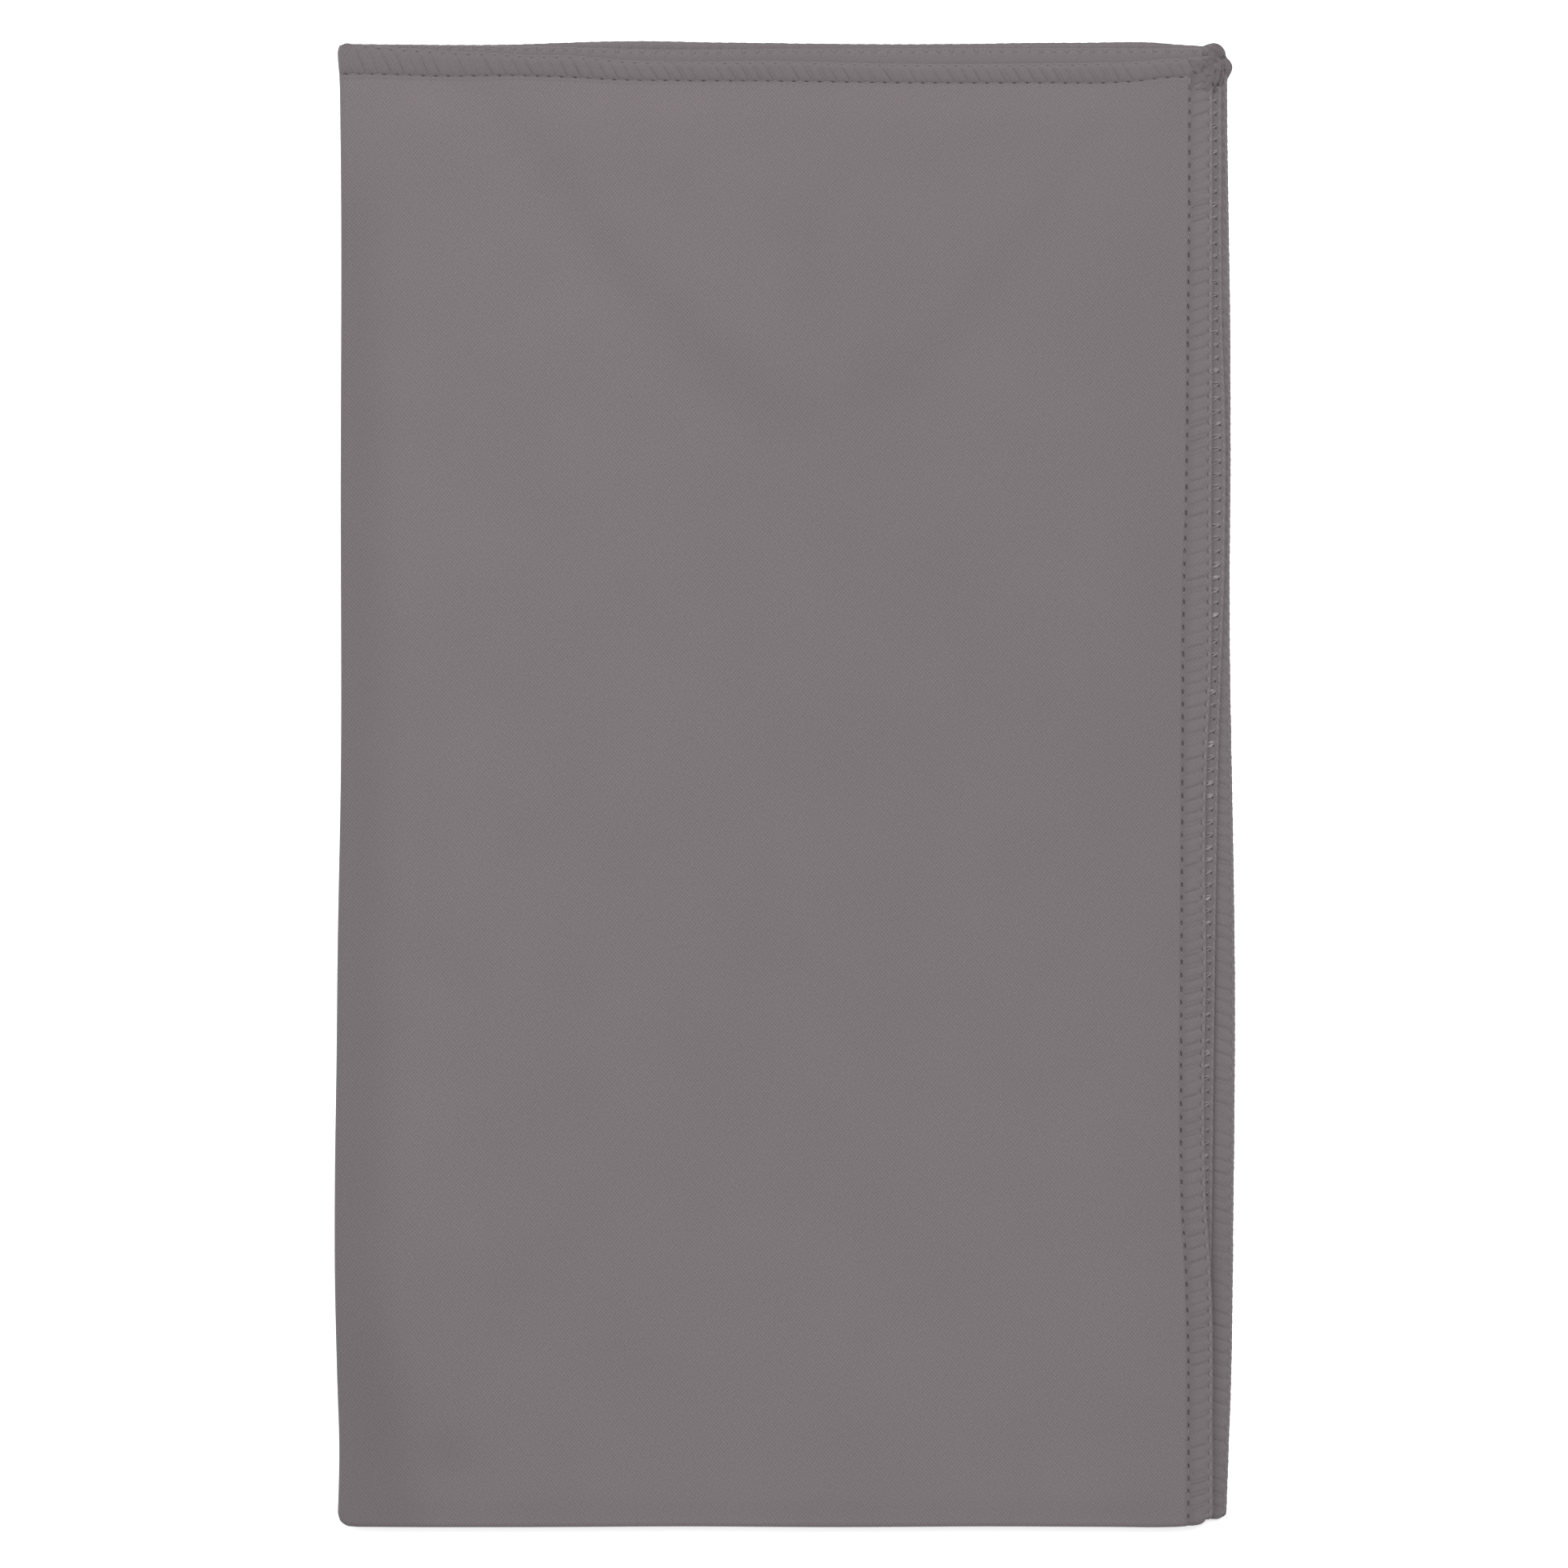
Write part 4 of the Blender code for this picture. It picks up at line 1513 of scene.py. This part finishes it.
@dataclass(frozen=True)
class ThreadFinish:
    """Textured polyester thread.

    Attributes:
        name: The material's name.
        light: Colour of the plies.
        dark: Colour of the painted shade between the plies.
        roughness: Roughness of the fibres.
        sheen: Weight of the fibres' sheen.
        relief: Height of the fuzz's bump, in metres.
    """

    name: str
    light: Colour
    dark: Colour
    roughness: float = 0.65
    sheen: float = 0.04
    relief: float = 0.00006

    def build(self) -> bpy.types.Material:
        """Makes the material."""
        material, shader = principled(self.name, self.roughness, self.sheen)
        tree = material.node_tree
        fuzz = noise(tree, millimetres(tree), 4.0, 2.0)
        # Painted shade and tone: the colour darkens between the plies and follows each thread's
        # brightness: random per stitch on the needle thread, along the waves on the cord, and
        # painted glints on the ladder.
        ply = attribute(tree, "ply").outputs["Fac"]
        tone = math_node(tree, "MULTIPLY_ADD", ply, 0.7, math_node(tree, "MULTIPLY", fuzz, 0.6))
        colour = mix_colour(tree, tone, self.dark, self.light)
        tree.links.new(colour, shader.inputs["Base Color"])
        add_bump(tree, shader, fuzz, 0.5, self.relief)
        return material


def principled(name: str, roughness: float, sheen: float,
               specular: float = 0.15) -> tuple[bpy.types.Material, bpy.types.Node]:
    """Makes a material, and gives it with its shader."""
    material = bpy.data.materials.new(name)
    material.use_nodes = True
    shader = material.node_tree.nodes["Principled BSDF"]
    shader.inputs["Roughness"].default_value = roughness
    shader.inputs["Sheen Weight"].default_value = sheen
    shader.inputs["Specular IOR Level"].default_value = specular
    return material, shader


def node(tree: bpy.types.NodeTree, kind: str, **settings: object) -> bpy.types.Node:
    """Adds a node and sets its plain properties."""
    made = tree.nodes.new(kind)
    for key, value in settings.items():
        setattr(made, key, value)
    return made


def attribute(tree: bpy.types.NodeTree, name: str) -> bpy.types.Node:
    """Adds a node that reads one of the piece's named values."""
    return node(tree, "ShaderNodeAttribute", attribute_name=name)


def millimetres(tree: bpy.types.NodeTree) -> bpy.types.NodeSocket:
    """Adds the coordinates on the flat cloth, in millimetres."""
    scaled = node(tree, "ShaderNodeVectorMath", operation="SCALE")
    scaled.inputs["Scale"].default_value = 1 / MM
    tree.links.new(attribute(tree, "flat").outputs["Vector"], scaled.inputs[0])
    return scaled.outputs["Vector"]


def stretch(tree: bpy.types.NodeTree, value: bpy.types.NodeSocket, low: float, high: float,
            **settings: object) -> bpy.types.NodeSocket:
    """Adds a node that turns values from low to high into 0 to 1."""
    made = node(tree, "ShaderNodeMapRange", **settings)
    made.inputs["From Min"].default_value = low
    made.inputs["From Max"].default_value = high
    tree.links.new(value, made.inputs["Value"])
    return made.outputs["Result"]


def add_bump(tree: bpy.types.NodeTree, shader: bpy.types.Node, height: bpy.types.NodeSocket,
             strength: float, distance: float) -> None:
    """Lets a pattern stand out of a surface by a distance in metres."""
    made = node(tree, "ShaderNodeBump")
    made.inputs["Strength"].default_value = strength
    made.inputs["Distance"].default_value = distance
    tree.links.new(height, made.inputs["Height"])
    tree.links.new(made.outputs["Normal"], shader.inputs["Normal"])


def noise(tree: bpy.types.NodeTree, vector: bpy.types.NodeSocket, scale: float,
          detail: float) -> bpy.types.NodeSocket:
    """Adds a noise pattern and gives its value socket."""
    made = node(tree, "ShaderNodeTexNoise")
    made.inputs["Scale"].default_value = scale
    made.inputs["Detail"].default_value = detail
    tree.links.new(vector, made.inputs["Vector"])
    return made.outputs["Fac"]


def wave(tree: bpy.types.NodeTree, vector: bpy.types.NodeSocket, wobble: bpy.types.NodeSocket,
         angle: float, pitch: float) -> bpy.types.NodeSocket:
    """Adds diagonal ribs that wander a little.

    Args:
        tree: The material's nodes.
        vector: Coordinates in millimetres.
        wobble: A noise that makes the ribs wander.
        angle: Direction across the ribs, in degrees.
        pitch: Distance between ribs, in millimetres.

    Returns:
        Height of the ribs, 0 to 1.
    """
    turn = node(tree, "ShaderNodeMapping")
    turn.inputs["Rotation"].default_value = (0.0, 0.0, math.radians(angle))
    tree.links.new(vector, turn.inputs["Vector"])
    parts = node(tree, "ShaderNodeSeparateXYZ")
    tree.links.new(turn.outputs["Vector"], parts.inputs["Vector"])
    bent = math_node(tree, "MULTIPLY_ADD", wobble, 0.7, parts.outputs["X"])
    angle_now = math_node(tree, "MULTIPLY", bent, math.tau / pitch)
    sine = math_node(tree, "SINE", angle_now)
    return math_node(tree, "MULTIPLY_ADD", sine, 0.5, 0.5)


def math_node(tree: bpy.types.NodeTree, operation: str, *values: object) -> bpy.types.NodeSocket:
    """Adds a sum and gives its result; each value is a number or a socket."""
    made = node(tree, "ShaderNodeMath", operation=operation)
    for socket, value in zip(made.inputs, values, strict=False):
        if isinstance(value, bpy.types.NodeSocket):
            tree.links.new(value, socket)
        else:
            socket.default_value = value
    return made.outputs[0]


def mix_colour(tree: bpy.types.NodeTree, share: bpy.types.NodeSocket, start: object,
               end: object) -> bpy.types.NodeSocket:
    """Adds a blend of two colours, each a tuple or a socket, and gives its result."""
    made = node(tree, "ShaderNodeMix", data_type="RGBA")
    tree.links.new(share, made.inputs["Factor"])
    sides = [s for s in made.inputs if s.type == "RGBA"]
    for socket, value in zip(sides, (start, end), strict=True):
        if isinstance(value, bpy.types.NodeSocket):
            tree.links.new(value, socket)
        else:
            socket.default_value = (*value, 1.0)
    return next(s for s in made.outputs if s.type == "RGBA")


# ---------------------------------------------------------------- dressing


# Seeds of the side hems, the end hems of the inner and the outer layers, and the corners.
SIDE_SEEDS = (500, 550)
INNER_END_SEED = 700
OUTER_END_SEED = 800
CORNER_SEEDS = (900, 920, 940, 960)


@dataclass
class Finishes:
    """The materials that the pieces share."""

    cloth: bpy.types.Material
    hem: bpy.types.Material
    needle: bpy.types.Material
    looper: bpy.types.Material
    rung: bpy.types.Material


def dress(piece: bpy.types.Object, material: bpy.types.Material,
          replaced: Sequence[str]) -> None:
    """Gives a piece its material and hides the CAD nodes that it stands for."""
    piece.data.materials.clear()
    piece.data.materials.append(material)
    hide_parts(*replaced)
    LOG.info("%s: %d faces", piece.name, len(piece.data.polygons))


@dataclass
class FoldedTowel:
    """The whole towel: its cloth, hems, threads and corners; the corners, the outer end hems and
    the side turns ride on their layers' bodies.
    """

    finishes: Finishes
    cloth: ClothMaker = field(default_factory=ClothMaker)
    hems: HemMaker = field(default_factory=HemMaker)
    threads: ThreadMaker = field(default_factory=ThreadMaker)
    corners: CornerMaker = field(default_factory=CornerMaker)

    @property
    def front_down(self) -> FoldedPath:
        """Down the front layer, round its bottom fold and up the second layer."""
        return FoldedPath(FRONT, SECOND, FRONT_FOLD_Y, 151.5 * MM, 152.9 * MM)

    @property
    def back_down(self) -> FoldedPath:
        """Down the back layer, round its bottom fold and up the third layer."""
        return FoldedPath(BACK, THIRD, BACK_FOLD_Y, 154.0 * MM, 154.4 * MM)

    @property
    def inner_in(self) -> FoldedPath:
        """In along the second layer, round the inner side fold and out along the third."""
        return FoldedPath(SECOND, THIRD, SIDE_FOLD_X, 89.5 * MM, 91.5 * MM)

    @property
    def outer_in(self) -> FoldedPath:
        """In along the front layer, round the outer side fold and out along the back layer."""
        return FoldedPath(FRONT, BACK, SIDE_FOLD_X, 87.5 * MM, 89.5 * MM)

    def gap(self, lower: str, upper: str) -> tuple[float, float]:
        """Top of one layer and bottom of the layer above it, hems included."""
        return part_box(lower + "_side_hem")[1][2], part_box(upper + "_side_hem")[0][2]

    def join(self, piece: bpy.types.Object) -> None:
        """Bakes a piece's place into its mesh."""
        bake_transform(piece)

    def flatten(self, piece: bpy.types.Object, body: str) -> None:
        """Puts a piece of the outer side fold on a layer's body, with a mesh of its own."""
        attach(piece, body)
        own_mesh(piece)

    def sheets(self) -> None:
        """Builds the three broad sheets and the two halves of the outer side fold."""
        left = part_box("outer_side_fold_front")[0][0]
        bottoms = {"front": FRONT_FOLD_Y - FOLD_OUTER, "back": BACK_FOLD_Y - FOLD_OUTER}
        ends = {name: (left, bottom, LEFT_RADII[name]) for name, bottom in bottoms.items()}
        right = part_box("front_side_looper_thread")[1][0]
        corners = (ends["front"], (right, bottoms["front"], RIGHT_RADIUS))
        front = self.cloth.by_length("front_cloth", self.front_down, corners, relief=True)
        self.join(front)
        dress(front, self.finishes.cloth, ("front_panel", "front_bottom_fold"))
        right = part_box("back_side_looper_thread")[1][0]
        corners = (ends["back"], (right, bottoms["back"], RIGHT_RADIUS))
        back = self.cloth.by_length("back_cloth", self.back_down, corners, relief=False)
        self.join(back)
        dress(back, self.finishes.cloth, ("back_panel", "back_bottom_fold"))
        inner = self.cloth.by_width("inner_cloth", self.inner_in, (FRONT_FOLD_Y, BACK_FOLD_Y))
        self.join(inner)
        nodes = ("second_panel", "third_panel", "inner_side_fold")
        dress(inner, self.finishes.cloth, nodes)
        axis = (SIDE_FOLD_X, (FRONT.middle + BACK.middle) / 2)
        for layer, path in ((FRONT, self.front_down), (BACK, self.back_down)):
            name = layer.name + "_side_turn"
            turn = self.cloth.side_turn(name, path, axis, ends[layer.name])
            self.flatten(turn, layer.body)
            dress(turn, self.finishes.cloth, ("outer_side_fold_" + layer.name,))

    def seam(self, seam: Seam, place: Callable, replaced: dict[str, tuple[str, ...]]) -> None:
        """Builds one seam's band and threads.

        Args:
            seam: The seam.
            place: Puts a piece in place: on its body, or with its place baked into its mesh.
            replaced: CAD nodes for the slots hem, needle_thread and looper_thread.
        """
        makers = (
            (self.hems.make, self.finishes.hem, "hem"),
            (self.threads.needle, self.finishes.needle, "needle_thread"),
            (self.threads.edge_cord, self.finishes.looper, "looper_thread"),
        )
        for make, finish, slot in makers:
            piece = make(seam)
            place(piece)
            dress(piece, finish, replaced[slot])
        ladder = self.threads.ladder(seam)
        place(ladder)
        # The side hems' ladders get the lighter thread with painted glints.
        rung = self.finishes.rung if seam.along_y else self.finishes.looper
        dress(ladder, rung, ())

    def nodes_of(self, layers: Sequence[Layer], edge: str) -> dict[str, tuple[str, ...]]:
        """Names of the CAD nodes that a seam over these layers stands for."""
        kinds = ("hem", "needle_thread", "looper_thread")
        return {k: tuple(f"{layer.name}_{edge}_{k}" for layer in layers) for k in kinds}

    def side_seams(self) -> None:
        """Builds the two long side hems, each round a bottom fold."""
        pairs = ((self.front_down, SECOND), (self.back_down, THIRD))
        for number, (path, fixed) in enumerate(pairs):
            seam = Seam(path.first.name + "_side", path, True, 0.0, path.length, SIDE_SEEDS[number])
            nodes = self.nodes_of((path.first, path.last), "side")
            self.seam(seam, lambda p, a=fixed, b=path.first: self.join(p), nodes)

    def end_seams(self) -> None:
        """Builds the end hems, and the short turns at the outer side fold."""
        path = self.inner_in
        seam = Seam("inner_end", path, False, 0.0, path.length, INNER_END_SEED)
        nodes = self.nodes_of((SECOND, THIRD), "end")
        self.seam(seam, lambda p: self.join(p), nodes)
        path = self.outer_in
        middle = (path.turn_start + path.turn_end) / 2
        none = self.nodes_of((), "end")
        parts = (
            ("front_end", FRONT, 0.0, path.turn_start, False),
            ("front_end_turn", FRONT, path.turn_start, middle, True),
            ("back_end_turn", BACK, middle, path.turn_end, True),
            ("back_end", BACK, path.turn_end, path.length, False),
        )
        for name, layer, start, stop, turning in parts:
            seam = Seam(name, path, False, start, stop, OUTER_END_SEED)
            nodes = none if turning else self.nodes_of((layer,), "end")
            put = self.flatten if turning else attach
            self.seam(seam, lambda p, f=put, b=layer.body: f(p, b), nodes)

    def hem_corners(self) -> None:
        """Builds the four bunched corners."""
        for layer, seed in zip(LAYERS, CORNER_SEEDS, strict=True):
            corner = self.corners.make(layer, seed)
            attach(corner, layer.body)
            dress(corner, self.finishes.hem, (layer.name + "_hem_corner",))

    def build(self) -> None:
        """Builds every piece."""
        self.sheets()
        self.side_seams()
        self.end_seams()
        self.hem_corners()


# ---------------------------------------------------------------- studio


@dataclass(frozen=True)
class Lamp:
    """A soft square light that looks at the towel.

    Attributes:
        name: Its name.
        place: Where it stands.
        size: Length of its sides.
        watts: Its power.
    """

    name: str
    place: tuple[float, float, float]
    size: float
    watts: float

    def build(self) -> None:
        """Adds the light."""
        lamp = bpy.data.lights.new(self.name, "AREA")
        lamp.size = self.size
        lamp.energy = self.watts
        holder = add_object(self.name, lamp)
        holder.location = self.place
        holder.rotation_euler = Vector(self.place).to_track_quat("Z", "Y").to_euler()


@dataclass
class Studio:
    """The camera, the lights and the floor.

    Attributes:
        frame_height: Height of the view at the towel's top.
        lens: Focal length, in millimetres.
        sensor: Width of the sensor, in millimetres.
        lamps: The lights.
        room_light: Strength of the even white light from all round.
        floor_size: Length of the floor's sides.
        floor_drop: How far the floor lies below the towel.
        floor_tone: Brightness of the floor's colour.
        floor_glow: Strength of the floor's own light.
    """

    frame_height: float = 334.9 * MM
    lens: float = 100.0
    sensor: float = 36.0
    lamps: Sequence[Lamp] = (
        Lamp("key", (0.25, 1.05, 1.75), 1.0, 44.0),
        Lamp("fill", (-0.9, 0.3, 1.6), 1.4, 14.0),
    )
    room_light: float = 0.5
    floor_size: float = 6.0
    floor_drop: float = 0.0002
    floor_tone: float = 0.87
    floor_glow: float = 0.45

    def camera(self) -> None:
        """Looks straight down on the towel's top."""
        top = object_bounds()[1][2]
        camera = add_object("camera", bpy.data.cameras.new("camera"))
        camera.data.lens = self.lens
        camera.data.sensor_width = self.sensor
        camera.location = (0.0, 0.0, top + self.frame_height * self.lens / self.sensor)
        bpy.context.scene.camera = camera

    def floor(self) -> None:
        """Lays the plain pale floor."""
        form = bmesh.new()
        bmesh.ops.create_grid(form, x_segments=1, y_segments=1, size=self.floor_size / 2)
        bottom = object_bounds()[0][2]
        bmesh.ops.translate(form, verts=form.verts, vec=(0.0, 0.0, bottom - self.floor_drop))
        mesh = bpy.data.meshes.new("floor")
        form.to_mesh(mesh)
        form.free()
        material, shader = principled("pale floor", roughness=0.9, sheen=0.0, specular=0.0)
        shader.inputs["Base Color"].default_value = (*[self.floor_tone] * 3, 1.0)
        shader.inputs["Emission Color"].default_value = WHITE
        shader.inputs["Emission Strength"].default_value = self.floor_glow
        mesh.materials.append(material)
        add_object("floor", mesh)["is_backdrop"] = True

    def world(self) -> None:
        """Fills the room with even white light."""
        world = bpy.data.worlds.new("studio")
        world.use_nodes = True
        background = world.node_tree.nodes["Background"]
        background.inputs["Color"].default_value = WHITE
        background.inputs["Strength"].default_value = self.room_light
        bpy.context.scene.world = world

    def build(self) -> None:
        """Sets the studio up."""
        bpy.context.scene.view_settings.view_transform = "Standard"
        self.camera()
        for lamp in self.lamps:
            lamp.build()
        self.floor()
        self.world()


def main() -> None:
    """Builds the studio and the towel."""
    logging.basicConfig(level=logging.INFO, format="%(name)s: %(message)s")
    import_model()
    Studio().build()
    finishes = Finishes(
        cloth=ClothFinish("grey cloth", (0.1568, 0.1373, 0.1441), (0.0893, 0.0779, 0.0819)).build(),
        hem=ClothFinish("hem cloth", (0.1395, 0.1215, 0.1275), (0.0890, 0.0775, 0.0815),
                        relief=0.00007, ribs=0.35).build(),
        needle=ThreadFinish("needle thread", (0.19, 0.17, 0.176), (0.055, 0.048, 0.05)).build(),
        looper=ThreadFinish("looper thread", (0.150, 0.131, 0.137), (0.100, 0.087, 0.092)).build(),
        # A lighter copy of the looper thread, for painted glints on the side hems' ladders.
        rung=ThreadFinish("rung thread", (0.245, 0.228, 0.234), (0.090, 0.079, 0.083)).build(),
    )
    FoldedTowel(finishes).build()


if __name__ == "__main__":
    main()
